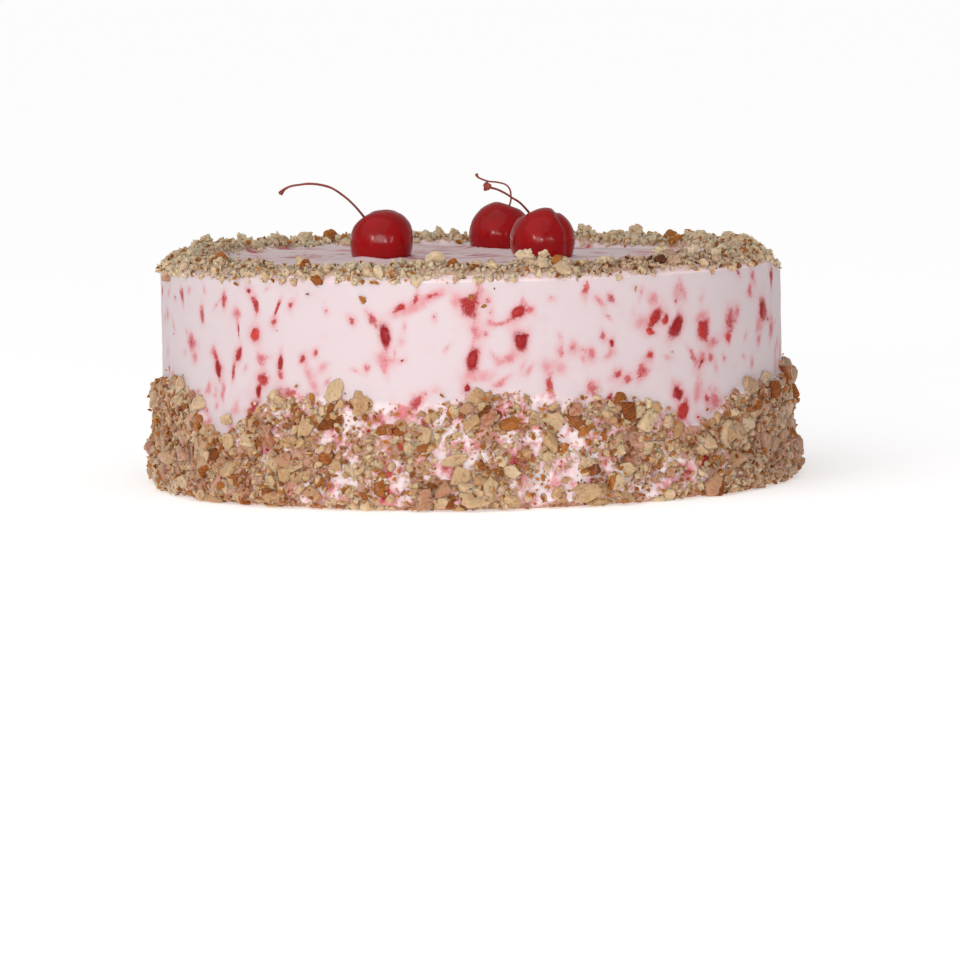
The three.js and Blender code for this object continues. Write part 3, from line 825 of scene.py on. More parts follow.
def frosting_rows(sizes):
    """Rows of the frosting from the foot of the wall to the middle of the top, each with its
    radius, its height, its normal out and up, and its number of columns."""
    inner, under = sizes.radius - sizes.edge, sizes.height - sizes.edge
    rows = [(sizes.radius, under * i / WALL_ROWS, 1, 0, WALL_COLUMNS) for i in range(WALL_ROWS + 1)]
    for i in range(1, EDGE_ROWS + 1):
        turn = math.pi / 2 * i / EDGE_ROWS
        out, up = math.cos(turn), math.sin(turn)
        rows.append((inner + sizes.edge * out, under + sizes.edge * up, out, up, WALL_COLUMNS))
    radius, columns = inner, WALL_COLUMNS
    while radius > CENTRE_RADIUS:
        fine = radius > inner - sizes.ring - RIM_MARGIN
        radius -= RIM_STEP if fine else TOP_STEP
        if not fine and math.tau * radius / columns < TOP_STEP / 2 and columns > FEWEST_COLUMNS:
            columns //= 2
        rows.append((max(radius, CENTRE_RADIUS), sizes.height, 0, 1, columns))
    return rows


def joined_rows(first, count, second, count_next):
    """Triangles between two rows that start at those vertices, the second with as many columns
    or half as many."""
    faces = []
    for i in range(count_next):
        j = (i + 1) % count_next
        if count == count_next:
            faces += [(first + i, first + j, second + j), (first + i, second + j, second + i)]
            continue
        a, b, c = 2 * i, 2 * i + 1, (2 * i + 2) % count
        faces += [(first + a, first + b, second + i), (first + b, first + c, second + j)]
        faces.append((first + b, second + j, second + i))
    return faces


def frosting_mesh(sizes, bits):
    """The frosting, closed by the flat base, with what its finish and the nuts need to know at
    each vertex."""
    rows = frosting_rows(sizes)
    points, faces, plain, nuts, starts = [], [], [], [], []
    for radius, height, out, up, columns in rows:
        starts.append(len(points))
        for i in range(columns):
            direction = turn_between(0, math.tau * i / columns)
            flat = around(direction, radius, height)
            lift = out * wall_lift(flat, direction, sizes) if out > LEAST_FACING else 0.0
            lift += up * top_lift(flat, direction, sizes) if up > LEAST_FACING else 0.0
            point = flat + around(direction, out, up) * lift
            point.z *= 1 + top_tilt(point) / sizes.height
            point.z -= edge_dent(direction, height, sizes.radius - radius, sizes)
            points.append(point)
            plain.append((direction, height, up))
            nuts.append(nut_cover(flat, direction, up, sizes))
    for start, row, start_next, row_next in zip(starts, rows, starts[1:], rows[1:]):
        faces += joined_rows(start, row[-1], start_next, row_next[-1])
    foot, middle = len(points), len(points) + 1
    points += [Vector((0, 0, 0)), Vector((0, 0, sizes.height))]
    plain += [(0, 0, 0), (0, 0, 1)]
    nuts += [{}, {}]
    count, last, inmost = rows[0][-1], starts[-1], rows[-1][-1]
    faces += [(foot, (i + 1) % count, i) for i in range(count)]
    faces += [(middle, last + i, last + (i + 1) % inmost) for i in range(inmost)]
    mesh = mesh_of("frosting", points, faces)
    for name in NUT_COVER:
        set_values(mesh, name, [cover.get(name, 0) for cover in nuts])
    for name, values in bit_marks(np.array(points), np.array(plain), bits, sizes).items():
        set_values(mesh, name, values)
    return mesh


JUICE_REACH = 7 * MM


def bit_marks(points, plain, bits, sizes):
    """What the bits of cherry leave at each vertex: flesh is 1 amid a bit and 0 on its outline,
    veil and tone are that bit's depth and tone, and stain is the juice round it."""
    direction, height, up = plain.T
    marks = {"flesh": np.full(len(points), -1.0), "veil": np.zeros(len(points))}
    marks |= {"tone": np.zeros(len(points)), "stain": np.zeros(len(points))}
    for bit in bits:
        if bit.on_top:
            along, across = points[:, 0] - bit.point.x, points[:, 1] - bit.point.y
            side = up > 0.5
        else:
            turn = direction - bit.direction
            along = np.arctan2(np.sin(turn), np.cos(turn)) * sizes.radius
            across = height - bit.point.z
            side = up < 0.5
        away = np.maximum(np.abs(along), np.abs(across))
        near = np.nonzero(side & (away < bit.length + JUICE_REACH))[0]
        flesh = bit.flesh(along[near], across[near])
        won = near[flesh > marks["flesh"][near]]
        marks["flesh"][near] = np.maximum(marks["flesh"][near], flesh)
        marks["veil"][won] = bit.depth
        marks["tone"][won] = bit.tone
        outside = np.maximum(-flesh, 0) * math.sqrt(bit.length * bit.breadth) / 2
        amid = ease_array(flesh, -0.1, 0.7)
        halo = 0.6 * np.exp(-((outside / (0.8 * MM + 0.2 * bit.breadth)) ** 2)) * (1 - 0.5 * bit.depth)
        halo += 0.3 * np.exp(-((outside / (1.8 * MM + 0.4 * bit.breadth)) ** 2)) + 0.4 * bit.depth * amid
        marks["stain"][near] = 1 - (1 - marks["stain"][near]) * (1 - halo)
    return marks


def frosting_finish(colours, sizes):
    """Soft matte frosting with bits of cherry in it, more or less veiled by it, the juice round
    them, faint blotches, a fine grain with low waves, and nut meal under the nuts."""
    finish = Finish("Frosting", Roughness=0.6, Specular_IOR_Level=0.2)
    finish.soften(0.4, FROSTING_SCATTER)
    stain, flesh, veil = (finish.attribute(name) for name in ("stain", "flesh", "veil"))
    band, meal = finish.attribute("band"), finish.attribute("meal")
    cloudy = finish.noise(2.4 * MM, 3, 0.6)
    blotch = finish.noise(9 * MM, 3, 0.6).between(0.5, 0.85) * 0.25
    torn = finish.noise(5 * MM, 4, 0.65).between(0.42, 0.66) * band * 0.75
    soft = stain * (0.25 + 0.75 * cloudy) + blotch + torn
    on_top = finish.axis("Z").between(sizes.height - 1.5 * MM, sizes.height - 0.5 * MM)
    # Painted light: the top and the frosting between the nuts of the band are painted paler, standing in for
    # the light they catch
    pale = finish.mix(on_top.most(band * 0.8), colours.frosting, colours.painted_light_frosting)
    pink = finish.mix(soft.between(-0.1, 1.1) + on_top * 0.12, pale, colours.juice)
    ragged = (finish.noise(2.4 * MM, 3, 0.6, distortion=0.7) - 0.5) * 2.8
    covered = veil.between(0.0, 0.3)
    ragged = (ragged + (finish.noise(0.9 * MM, 2, 0.5) - 0.5) * 0.9) * (0.4 + covered * 0.6)
    fade = 0.32 + veil * 0.5
    shape = (flesh + ragged).between(0.0 - fade, fade) * (1.0 - veil.between(0.1, 0.9) * 0.85)
    streaks = finish.noise(0.9 * MM, 3, 0.6, distortion=1.6)
    bright = (finish.attribute("tone") * 0.9 + (streaks - 0.5) * 2.4 + 0.1).between(0.0, 1.0)
    red = finish.mix(bright, colours.bit, colours.bright_bit)
    film = finish.noise(1.7 * MM, 3, 0.65).between(0.54, 0.74) * (0.15 + covered * 0.35)
    cores = flesh * 0.8 + (finish.noise(0.8 * MM, 2, 0.5, distortion=0.8) - 0.5) * 3.2
    cores = cores.between(0.45, 0.9)
    hidden = veil.between(0.05, 0.45) * (1.0 - cores * (1.0 - veil.between(0.45, 0.9)))
    red = finish.mix(hidden.most(film), red, colours.veiled_bit)
    shape = shape.most(cores * flesh.between(-0.4, 0.1) * (1.0 - veil) * 0.85)
    specked = finish.mix(shape, pink, red)
    ground = finish.noise(1.3 * MM, 4, 0.7)
    pale_meal = finish.mix(finish.attribute("rim") * 0.6, colours.meal, colours.rim_kernel)
    grounds = finish.mix(ground.between(0.46, 0.8), pale_meal, colours.toasted)
    share = (meal + (finish.noise(3.2 * MM, 4, 0.7) - 0.5) * 1.3).between(0.42, 0.6)
    finish.feed("Base Color", finish.mix(share * 0.92, specked, grounds))
    grain = finish.noise(0.5 * MM, 3, 0.6)
    waves = finish.noise(3.2 * MM, 2, 0.5)
    finish.bump(grain * 0.3 + waves * 0.7 + share * ground * 0.8, 0.35, 0.4 * MM)
    return finish.material


# Bits of cherry

RANDOM_WALL_BITS = 560
RANDOM_BAND_BITS = 170
RANDOM_TOP_BITS = 260
FRONT_SECTOR = math.radians(78)
SMALLEST_BIT = 1.7 * MM
FRONT_GROWTH, BACK_GROWTH = 2.8, 6.6  # millimetres that the largest random bits gain there
BAND_BIT = (1.8, 4.6)  # shortest and longest in the band, in millimetres
TOP_BIT, TOP_GROWTH = 2.5, 9  # shortest on the top, and what the longest gain, in millimetres
TOP_BIT_TILT, TOP_BIT_SPREAD = math.pi / 2, 0.35  # drawn out along the strokes of the knife
CLEAR_OF_SHOWN = 3.2 * MM  # random bits keep this far from those that show well
BARE_DEPTH = 0.12  # bits that lie less deep show whole
BARE_GROWTH = 1.12
PROUD_DEPTH = 0.08  # bits that lie less deep stand out of the frosting
BIT_HEIGHT = 1.5 * MM
BIT_CORNERS = 5  # how sharp the corners of a bit are
BIT_TURNS = 20
BIT_RINGS = ((0.8, -0.6), (0.78, 0.03), (0.55, 0.22), (0.28, 0.3))  # share of the way out, and height


@dataclass
class Bit:
    """A bit of chopped cherry: where it lies and what it faces, its size and tilt, how deep it
    lies from 0 to 1, its tone from dark to bright, and the way that each of its sides faces with its
    distance from the middle."""

    point: Vector
    normal: Vector
    direction: float
    length: float
    breadth: float
    tilt: float
    depth: float
    tone: float
    sides: list

    @property
    def on_top(self):
        return self.normal.z > 0.5

    def flesh(self, along, across):
        """1 at the bit's middle, 0 on its outline and below 0 outside, for arrays of places."""
        cos, sin = math.cos(self.tilt), math.sin(self.tilt)
        u = (along * cos - across * sin) / (self.breadth / 2)
        v = (across * cos + along * sin) / (self.length / 2)
        away = [(u * math.cos(turn) + v * math.sin(turn)) / reach for turn, reach in self.sides]
        return 1 - (np.maximum(away, 0) ** BIT_CORNERS).sum(0) ** (1 / BIT_CORNERS)

    def reach(self, turn):
        """How far the outline lies from the middle that way."""
        away = [max(math.cos(turn - side), 0) / reach for side, reach in self.sides]
        return 1 / sum(a**BIT_CORNERS for a in away) ** (1 / BIT_CORNERS)

    def turn(self):
        """Turns +Z to the bit's normal and +Y along it."""
        up = Vector((0, 1, 0)) if self.on_top else Vector((0, 0, 1))
        facing = Matrix((up.cross(self.normal), up, self.normal)).transposed()
        return facing @ Matrix.Rotation(-self.tilt, 3, "Z")


def bits_of_cherry(sizes):
    """Every bit of cherry in the frosting: those that show well on the front, then the rest at
    random, with only small ones more on the front."""
    random = np.random.default_rng(sizes.seed)

    def cut_sides():
        count = int(random.integers(4, 7))
        turns = (np.arange(count) + random.uniform(-0.25, 0.25, count) + random.random()) * math.tau / count
        return list(zip(turns, random.uniform(0.8, 1.3, count) * math.cos(math.pi / count)))

    def wall_bit(direction, height, *form):
        flat, normal = around(direction, sizes.radius, height), around(direction, 1, 0)
        point = flat + normal * wall_lift(flat, direction, sizes)
        return Bit(point, normal, direction, *form, cut_sides())

    def clear_of_shown(direction, height):
        turns = [abs(turn_between(bit.direction, direction)) * sizes.radius for bit in shown]
        away = [max(turn, abs(bit.point.z - height)) for turn, bit in zip(turns, shown)]
        return min(away) > CLEAR_OF_SHOWN

    bits = []
    for direction, height, long, broad, tilt, depth, tone in SHOWN_BITS:
        grown = BARE_GROWTH if depth < BARE_DEPTH else 1
        form = (grown * long * MM, grown * broad * MM, math.radians(tilt), depth, tone)
        bits.append(wall_bit(math.radians(direction), height * MM, *form))
    shown = list(bits)
    for _ in range(RANDOM_WALL_BITS):
        direction = random.uniform(-math.pi, math.pi)
        height = random.uniform(2 * MM, sizes.height - 3 * MM)
        growth = FRONT_GROWTH if abs(direction) < FRONT_SECTOR else BACK_GROWTH
        long = SMALLEST_BIT + growth * random.random() ** 2 * MM
        form = (long, long * random.uniform(0.4, 0.85), random.uniform(-1.2, 1.2))
        depth, tone = random.random() ** 0.8, random.random() ** 1.5
        if clear_of_shown(direction, height):
            bits.append(wall_bit(direction, height, *form, depth, tone))
    for _ in range(RANDOM_BAND_BITS):
        direction = random.uniform(-math.pi, math.pi)
        height = random.uniform(2 * MM, sizes.band)
        long = random.uniform(*BAND_BIT) * MM
        form = (long, long * random.uniform(0.5, 0.9), random.normal(0, 0.8), 0.3 * random.random())
        bits.append(wall_bit(direction, height, *form, random.random()))
    for _ in range(RANDOM_TOP_BITS):
        direction = random.uniform(-math.pi, math.pi)
        flat = around(direction, (sizes.radius - sizes.ring) * math.sqrt(random.random()), sizes.height)
        point = flat + Vector((0, 0, top_lift(flat, direction, sizes)))
        long = (TOP_BIT + TOP_GROWTH * random.random() ** 2) * MM
        form = (long, long * random.uniform(0.2, 0.6), random.normal(TOP_BIT_TILT, TOP_BIT_SPREAD))
        depth, tone = random.uniform(0.1, 0.95), random.random() ** 1.5
        bits.append(Bit(point, Vector((0, 0, 1)), direction, *form, depth, tone, cut_sides()))
    return bits


def bit_mesh(bits):
    """A low craggy lump for each bit that stands out of the frosting."""
    points, faces, tones, outer = [], [], [], []
    for bit in bits:
        facing, thick, start = bit.turn(), min(BIT_HEIGHT, 0.45 * bit.breadth), len(points)
        for share, height in BIT_RINGS:
            for k in range(BIT_TURNS):
                turn = math.tau * k / BIT_TURNS
                out = share * bit.reach(turn) / 2
                flat = Vector((out * bit.breadth * math.cos(turn), out * bit.length * math.sin(turn), 0))
                place = bit.point + facing @ flat
                rise = thick * (height + 0.25 * height * cloud(place, 1.3 * MM))
                points.append(place + bit.normal * rise)
        for ring in range(len(BIT_RINGS) - 1):
            first = start + ring * BIT_TURNS
            faces += joined_rows(first, BIT_TURNS, first + BIT_TURNS, BIT_TURNS)
        inmost = len(points) - BIT_TURNS
        points.append(bit.point + bit.normal * thick * BIT_RINGS[-1][1])
        faces += [(inmost + k, inmost + (k + 1) % BIT_TURNS, len(points) - 1) for k in range(BIT_TURNS)]
        faces.append(range(start + BIT_TURNS - 1, start - 1, -1))
        tones += [bit.tone] * (len(points) - start)
        outer += [share for share, _ in BIT_RINGS for _ in range(BIT_TURNS)] + [0]
    mesh = mesh_of("cherry_bits", points, faces)
    set_values(mesh, "tone", tones)
    set_values(mesh, "outer", outer)
    return mesh


def bit_finish(colours):
    """Moist red flesh with darker and brighter streaks."""
    finish = Finish("Chopped cherry", Specular_IOR_Level=0.12, Roughness=0.32)
    streaks = finish.noise(0.9 * MM, 3, 0.6, distortion=1.6)
    bright = (finish.attribute("tone") * 0.9 + (streaks - 0.5) * 1.6 + 0.05).between(0.0, 1.0)
    red = finish.mix(bright, colours.bit, colours.bright_bit)
    film = finish.noise(1.5 * MM, 3, 0.65) + finish.attribute("outer") * 0.25
    finish.feed("Base Color", finish.mix(film.between(0.66, 0.9) * 0.35, red, colours.veiled_bit))
    finish.bump(streaks, 0.3, 0.3 * MM)
    return finish.material


# Nuts

NUT_SCATTER = (2.6 * MM, 2.2 * MM, 1.8 * MM)
SHARP_EDGE = math.radians(66)
CUT_EDGE = 12  # how crisp the edges between cut faces are
SLAB_HEIGHT = 0.42
SLAB_RINGS = ((0.8, -1.0), (1.0, -0.3), (0.98, 0.5), (0.85, 0.93), (0.45, 1.0))  # share out, and height
SLAB_REACH = (0.62, 1.0)  # how far out the corners of a flat chip lie
SLAB_NICKS = (0.92, 1.06)  # how far its outline goes in and out between them
SLAB_SLOPE = 0.3
SLAB_GRAIN = 0.035
SQUARE_REACH = (0.65, 1.0)  # how far out the cut faces that square off a chunk lie
CUT_REACH = (0.8, 1.1)  # and the others
NUB_SIZE = 0.8
SKIN_FROM = 0.15  # skin starts this far out on its side of a nut
SKIN_SLOPE = 3
LEAST_FORM, MOST_FORM = (0.85, 0.85, 0.8), (1.1, 1.1, 1.1)  # how far a nut is squeezed or stretched
FILM_SHARE = 0.25  # film of frosting reaches up a nut by this share of its kind's smallest size
SHOWN_FILM_SHARE = 0.1  # and by this share of the length of one that shows well
SHOWN_PROUD = 0.3  # those on the rim stand out by this share of their length
SHOWN_HEAP = 0.5 * MM  # those on the wall stand off it by this round the sides
SHOWN_THICK = 0.65  # thickness as a share of the breadth
SHOWN_TIP = 0.22
SHOWN_FORM_SEED = 300
SHOWN_TURN_SEED = 600


@dataclass
class NutKind:
    """A kind of chopped nut: its piece, the cover on the frosting that says where it lies, the seed
    and the forms of its shapes, the seed of its places, its spacing and its smallest and largest
    size in millimetres, how many lie on a square metre at most, how rare large ones are, how far
    they are sunk and stand proud at most as shares of their size, and how far they tip in radians."""

    name: str
    cover: str
    shape_seed: int
    forms: list
    seed: int
    spacing: float
    smallest: float
    largest: float
    density: float
    rarity: float
    sunk: float
    proud: float
    tip: float

    def inputs(self):
        """Values for the inputs of the tree that strews this kind."""
        return {
            "Cover": self.cover,
            "Seed": self.seed,
            "Spacing": self.spacing * MM,
            "Smallest": self.smallest * MM,
            "Largest": self.largest * MM,
            "Density": self.density,
            "Rarity": self.rarity,
            "Sunk": self.sunk,
            "Proud": self.proud,
            "Tip": self.tip,
        }


def arrays_of(shape):
    """Points and faces of a bmesh, which is freed."""
    shape.verts.index_update()
    points = np.array([v.co for v in shape.verts])
    faces = [[v.index for v in face.verts] for face in shape.faces]
    shape.free()
    return points, faces


def ball_form(level):
    """Points and faces of a ball of radius 1."""
    ball = bmesh.new()
    bmesh.ops.create_icosphere(ball, subdivisions=level, radius=1)
    return arrays_of(ball)


def craggy(points, random, nubs):
    """Points pushed out into nubs of that height."""
    shift = Vector(random.uniform(-50, 50, 3))
    swell = [1 + nubs * noise.turbulence((Vector(p) + shift) / NUB_SIZE, 4, False) for p in points]
    return points * np.array(swell)[:, None]


def chip_form(random, level, cuts, nubs):
    """A chunk with flat cut faces: six that square it off, the rest at random."""
    normals = np.concatenate([np.eye(3), -np.eye(3), random.normal(size=(cuts, 3))])
    normals[:6] += random.normal(0, 0.25, (6, 3))
    normals /= np.linalg.norm(normals, axis=1)[:, None]
    reach = np.concatenate([random.uniform(*SQUARE_REACH, 6), random.uniform(*CUT_REACH, cuts)])
    points, faces = ball_form(level)
    facing = np.maximum(points @ normals.T, 0) / reach
    points = points / (facing**CUT_EDGE).sum(1)[:, None] ** (1 / CUT_EDGE)
    return craggy(points, random, nubs), faces


def lump_form(random, level, nubs):
    """A ball with nubs."""
    points, faces = ball_form(level)
    return craggy(points, random, nubs), faces


def slab_form(random, turns, corners):
    """A flat chip with a jagged outline and blunt edges."""
    turn = (np.arange(corners) + random.uniform(-0.35, 0.35, corners)) * math.tau / corners
    reach = random.uniform(*SLAB_REACH, corners)
    along = np.arange(turns) * corners / turns
    edges = (reach * np.cos(turn), reach * np.sin(turn))
    outline = np.array([np.interp(along, range(corners + 1), [*edge, edge[0]]) for edge in edges]).T
    outline *= random.uniform(*SLAB_NICKS, (turns, 1))
    slope = random.uniform(-SLAB_SLOPE, SLAB_SLOPE, 2)
    points, faces = [], []
    for share, height in SLAB_RINGS:
        flat = outline * share
        rise = SLAB_HEIGHT * height + flat @ slope + random.normal(0, SLAB_GRAIN, turns)
        points += zip(*flat.T, rise)
    points.append((0, 0, SLAB_HEIGHT))
    for ring in range(len(SLAB_RINGS) - 1):
        faces += joined_rows(ring * turns, turns, (ring + 1) * turns, turns)
    middle = len(points) - 1
    faces += [(middle - turns + i, middle - turns + (i + 1) % turns, middle) for i in range(turns)]
    faces.append(range(turns - 1, -1, -1))
    return np.array(points), faces


def shard_form(random, corners):
    """A splinter with flat faces between random corners."""
    shape = bmesh.new()
    for place in random.normal(size=(corners, 3)):
        shape.verts.new(Vector(place).normalized() * random.uniform(0.8, 1))
    bmesh.ops.convex_hull(shape, input=shape.verts)
    bmesh.ops.delete(shape, geom=[v for v in shape.verts if not v.link_faces], context="VERTS")
    bmesh.ops.recalc_face_normals(shape, faces=shape.faces)
    return arrays_of(shape)


def nut_shape(name, seed, form, detail, sides, skin):
    """A piece of chopped nut of length 1, its sides in that proportion. Brown skin covers none of
    it at 0, one side at 1 and all of it at 2."""
    random = np.random.default_rng(seed)
    points, faces = form(random, *detail)
    skin_side = random.normal(size=3)
    outer = points @ skin_side / np.linalg.norm(skin_side)
    points = points * sides
    points -= (points.max(0) + points.min(0)) / 2
    points /= np.ptp(points, axis=0).max()
    mesh = mesh_of(name, points, faces)
    mesh.set_sharp_from_angle(angle=SHARP_EDGE)
    on_side = (outer - SKIN_FROM) * SKIN_SLOPE + 2 * SKIN_SLOPE * max(skin - 1, 0)
    set_values(mesh, "skin", np.clip(on_side, 0, 1) * min(skin, 1))
    set_values(mesh, "across", points[:, 0])
    return mesh


def shapes_of(name, seed, forms):
    """A collection of shapes of those forms, each with a seed of its own."""
    shapes = bpy.data.collections.new(name)
    for i, form in enumerate(forms):
        mesh = nut_shape(f"{name}_{i}", seed + i, *form)
        shapes.objects.link(bpy.data.objects.new(f"{name}_{i:02d}", mesh))
    return shapes


def drop_shapes(shapes):
    """Removes a collection of shapes once they are strewn."""
    for shape in list(shapes.objects):
        mesh = shape.data
        bpy.data.objects.remove(shape)
        bpy.data.meshes.remove(mesh)
    bpy.data.collections.remove(shapes)


def strewn_nuts(kind, mesh, shapes, material):
    """One kind of nut strewn over the frosting as thickly as its vertices say, none of it below
    the floor."""
    tree = Strewer(kind.name, {"Shapes": shapes, "Material": material, **kind.inputs()})
    number = {"data_type": "FLOAT"}
    cover, heap, toast = (
        tree.node("GeometryNodeInputNamedAttribute", number, {"Name": name})
        for name in (tree.input("Cover"), "heap", "toast")
    )
    sockets = {
        "Mesh": tree.input("Geometry"),
        "Distance Min": tree.input("Spacing"),
        "Density Max": tree.input("Density"),
        "Density Factor": cover,
        "Seed": tree.input("Seed"),
    }
    settings = {"distribute_method": "POISSON"}
    places = tree.node("GeometryNodeDistributePointsOnFaces", settings, sockets, "Points")
    normal, facing = (Wire(tree, places.output.node.outputs[key]) for key in ("Normal", "Rotation"))
    share = tree.random(0.0, 1.0, 1) ** tree.input("Rarity")
    size = tree.input("Smallest") + (tree.input("Largest") - tree.input("Smallest")) * share
    stand = size * tree.random(tree.input("Sunk"), tree.input("Proud"), 2)
    stand = stand + heap * tree.random(0.0, 1.0, 3)
    scaled = {"operation": "SCALE"}
    offset = tree.node("ShaderNodeVectorMath", scaled, {"Vector": normal, "Scale": stand})
    raised = tree.node("GeometryNodeSetPosition", None, {"Geometry": places, "Offset": offset})
    tip = tree.input("Tip")
    ends = ((0.0 - tip, 0.0), (tip, math.tau))
    low, high = (tree.node("ShaderNodeCombineXYZ", None, {"X": t, "Y": t, "Z": z}) for t, z in ends)
    loose = tree.random(low, high, 4, "FLOAT_VECTOR")
    loose = tree.node("FunctionNodeEulerToRotation", None, {"Euler": loose})
    sockets = {"Rotation": facing, "Rotate By": loose}
    turn = tree.node("FunctionNodeRotateRotation", {"rotation_space": "LOCAL"}, sockets)
    form = tree.random(LEAST_FORM, MOST_FORM, 5, "FLOAT_VECTOR")
    scale = tree.node("ShaderNodeVectorMath", scaled, {"Vector": form, "Scale": size})
    nuts = tree.instances(raised, len(shapes.objects), turn, scale)
    tint = {"Geometry": nuts, "Name": "tint", "Value": tree.random(0.0, 0.75, 7) + toast + 0.05}
    tree.end(tree.node("GeometryNodeStoreNamedAttribute", {**number, "domain": "INSTANCE"}, tint))
    made = tree.run(mesh, kind.name)
    places = np.empty(3 * len(made.vertices), np.float32)
    made.vertices.foreach_get("co", places)
    places[2::3] = np.maximum(places[2::3], 0)
    made.vertices.foreach_set("co", places)
    return made


def set_clearance(mesh, frosting, reach):
    """How clear of the frosting each vertex is: 0 where it touches and 1 from that reach."""
    away = [frosting.find_nearest(vertex.co)[3] for vertex in mesh.vertices]
    set_values(mesh, "clear", np.array(away) / reach)


def nut_finish(colours, sizes):
    """Matte grainy kernel from pale to toasted by the piece's tint, whose toast also carries painted light
    that makes the back of the rim paler. It is greyer on the rim, with painted shade that darkens it round
    the left and right sides, more on the right, with brown grooved skin where there is any, and a film of
    frosting where it is pressed in."""
    finish = Finish("Chopped nut", Roughness=0.6, Specular_IOR_Level=0.06)
    finish.soften(0.9, NUT_SCATTER)
    tint, skin, across = (finish.attribute(name) for name in ("tint", "skin", "across"))
    on_rim = finish.axis("Z").between(sizes.height - 3 * MM, sizes.height)
    right = finish.axis("X") / sizes.radius
    # Painted shade: mask over the left and right sides, stronger on the right, for the darker kernel colour
    sides = right.between(0.68, 1.0) * 0.36 + (0.0 - right).between(0.68, 1.0) * 0.2
    mottle = finish.noise(1.6 * MM, 4, 0.65)
    grain = finish.noise(0.55 * MM, 3, 0.6)
    stops = ((0.0, colours.kernel), (0.35, colours.cream), (0.6, colours.honey), (0.8, colours.peach))
    stops += ((1.0, colours.toasted),)
    tone = tint * 0.95 + (mottle - 0.5) * 0.9 + (grain - 0.5) * 0.3 + 0.02
    kernel = finish.node("ShaderNodeValToRGB", {"stops": stops}, {"Fac": tone})
    kernel = finish.mix(sides * (1.0 - on_rim), kernel, colours.painted_shade_kernel)
    kernel = finish.mix(on_rim * 0.5, kernel, colours.rim_kernel)
    specks = (finish.noise(1.0 * MM, 2, 0.5) + tint * 0.04).between(0.61, 0.66) * 0.5
    kernel = finish.mix(specks, kernel, colours.toasted)
    stops = ((0.0, colours.skin), (0.55, colours.brown), (1.0, colours.dark_skin))
    groove = across * 42.0 + mottle * 5.0
    deep = (mottle - 0.5) * 0.9 + tint * 0.7 + groove.sine() * 0.14 + 0.1
    husk = finish.node("ShaderNodeValToRGB", {"stops": stops}, {"Fac": deep})
    covered = (skin + (mottle - 0.5) * 0.6).between(0.35, 0.55)
    nut = finish.mix(covered, kernel, husk)
    patches = (finish.noise(2.2 * MM, 3, 0.6) - 0.5) * 4.0 + 0.55
    bare = (finish.attribute("clear") + patches).between(0.1, 0.9)
    film = finish.mix(0.5, colours.painted_light_frosting, colours.juice)
    smear = finish.noise(3.5 * MM, 4, 0.65).between(0.55, 0.75) * 0.3
    bare = bare * 0.85 + 0.15 - smear
    finish.feed("Base Color", finish.mix(bare.most(on_rim), film, nut))
    finish.bump(mottle * 0.8 + grain * 0.2, 0.6, 0.7 * MM)
    return finish.material


def shown_form(index, corners, skin):
    """The form of a nut that shows well: a lump, or by turns two flat chips and a chunk."""
    if not corners:
        return lump_form, (4, 0.7 if skin < 2 else 0.2)
    if index % 3 == 2:
        return chip_form, (4, corners - 6, 0.25)
    return slab_form, (32, corners // 2 + 1)


def shown_nut_mesh(sizes):
    """The larger nuts that show well, each of its own shape, and how far frosting reaches up the
    nut of each vertex."""
    points, faces, values = [], [], []
    for index, (at, height, long, broad, tilt, corners, skin, tint) in enumerate(SHOWN_NUTS):
        direction = math.radians(at)
        random = np.random.default_rng(SHOWN_TURN_SEED + index)
        form = shown_form(index, corners, skin)
        mesh = nut_shape(f"nut_{index}", SHOWN_FORM_SEED + index, *form, (1, 1, 1), skin)
        up, normal = Vector((0, 0, 1)), around(direction, 1, 0)
        if height < 0:
            flat = around(direction, sizes.radius + height * MM, sizes.height)
            rise = top_lift(flat, direction, sizes) + top_tilt(flat)
            place = flat + up * (rise + SHOWN_PROUD * long * MM)
        else:
            flat = around(direction, sizes.radius, height * MM)
            rise = wall_lift(flat, direction, sizes) + SHOWN_HEAP * heaped(direction)
            place = flat + normal * (rise + 0.04 * broad * MM)
        facing = Matrix((up.cross(normal), up, normal)).transposed()
        loose = Euler((*random.normal(0, SHOWN_TIP, 2), -math.radians(tilt)), "ZYX").to_matrix()
        turn = facing @ loose
        scale = Matrix.Diagonal((broad * MM, long * MM, SHOWN_THICK * broad * MM))
        start = len(points)
        points += [place + turn @ (scale @ v.co) for v in mesh.vertices]
        faces += [[start + i for i in face.vertices] for face in mesh.polygons]
        skins, across = (mesh.attributes[name].data for name in ("skin", "across"))
        reach = SHOWN_FILM_SHARE * long * MM
        values += [(s.value, a.value, tint, reach) for s, a in zip(skins, across)]
        bpy.data.meshes.remove(mesh)
    mesh = mesh_of("shown_nuts", points, faces)
    mesh.set_sharp_from_angle(angle=SHARP_EDGE)
    *columns, reach = np.array(values).T
    for name, column in zip(("skin", "across", "tint"), columns):
        set_values(mesh, name, column)
    return mesh, reach


# Cherries and stems

CHERRY_SCATTER = (6 * MM, 0.8 * MM, 0.8 * MM)
CHERRY_LEVEL = 5  # how often the faces of its ball are divided
DIMPLE_DEPTH = 0.14  # hollow round the stem, as a share of the radius
DIMPLE_WIDTH = 0.27  # its reach in radians from the stem
CREASE_WIDTH = 0.085
CHERRY_DENTS = ((0.03, 1.2), (0.014, 4.5))  # depth as a share of the radius, and how many to it
CHERRY_DEPTH = 0.78  # how dark the deeper places of the skin are


def cherry_centre(cherry, sizes):
    """The middle of a cherry."""
    x, y, above = cherry["place"]
    return Vector((x * MM, y * MM, sizes.height + above * MM))


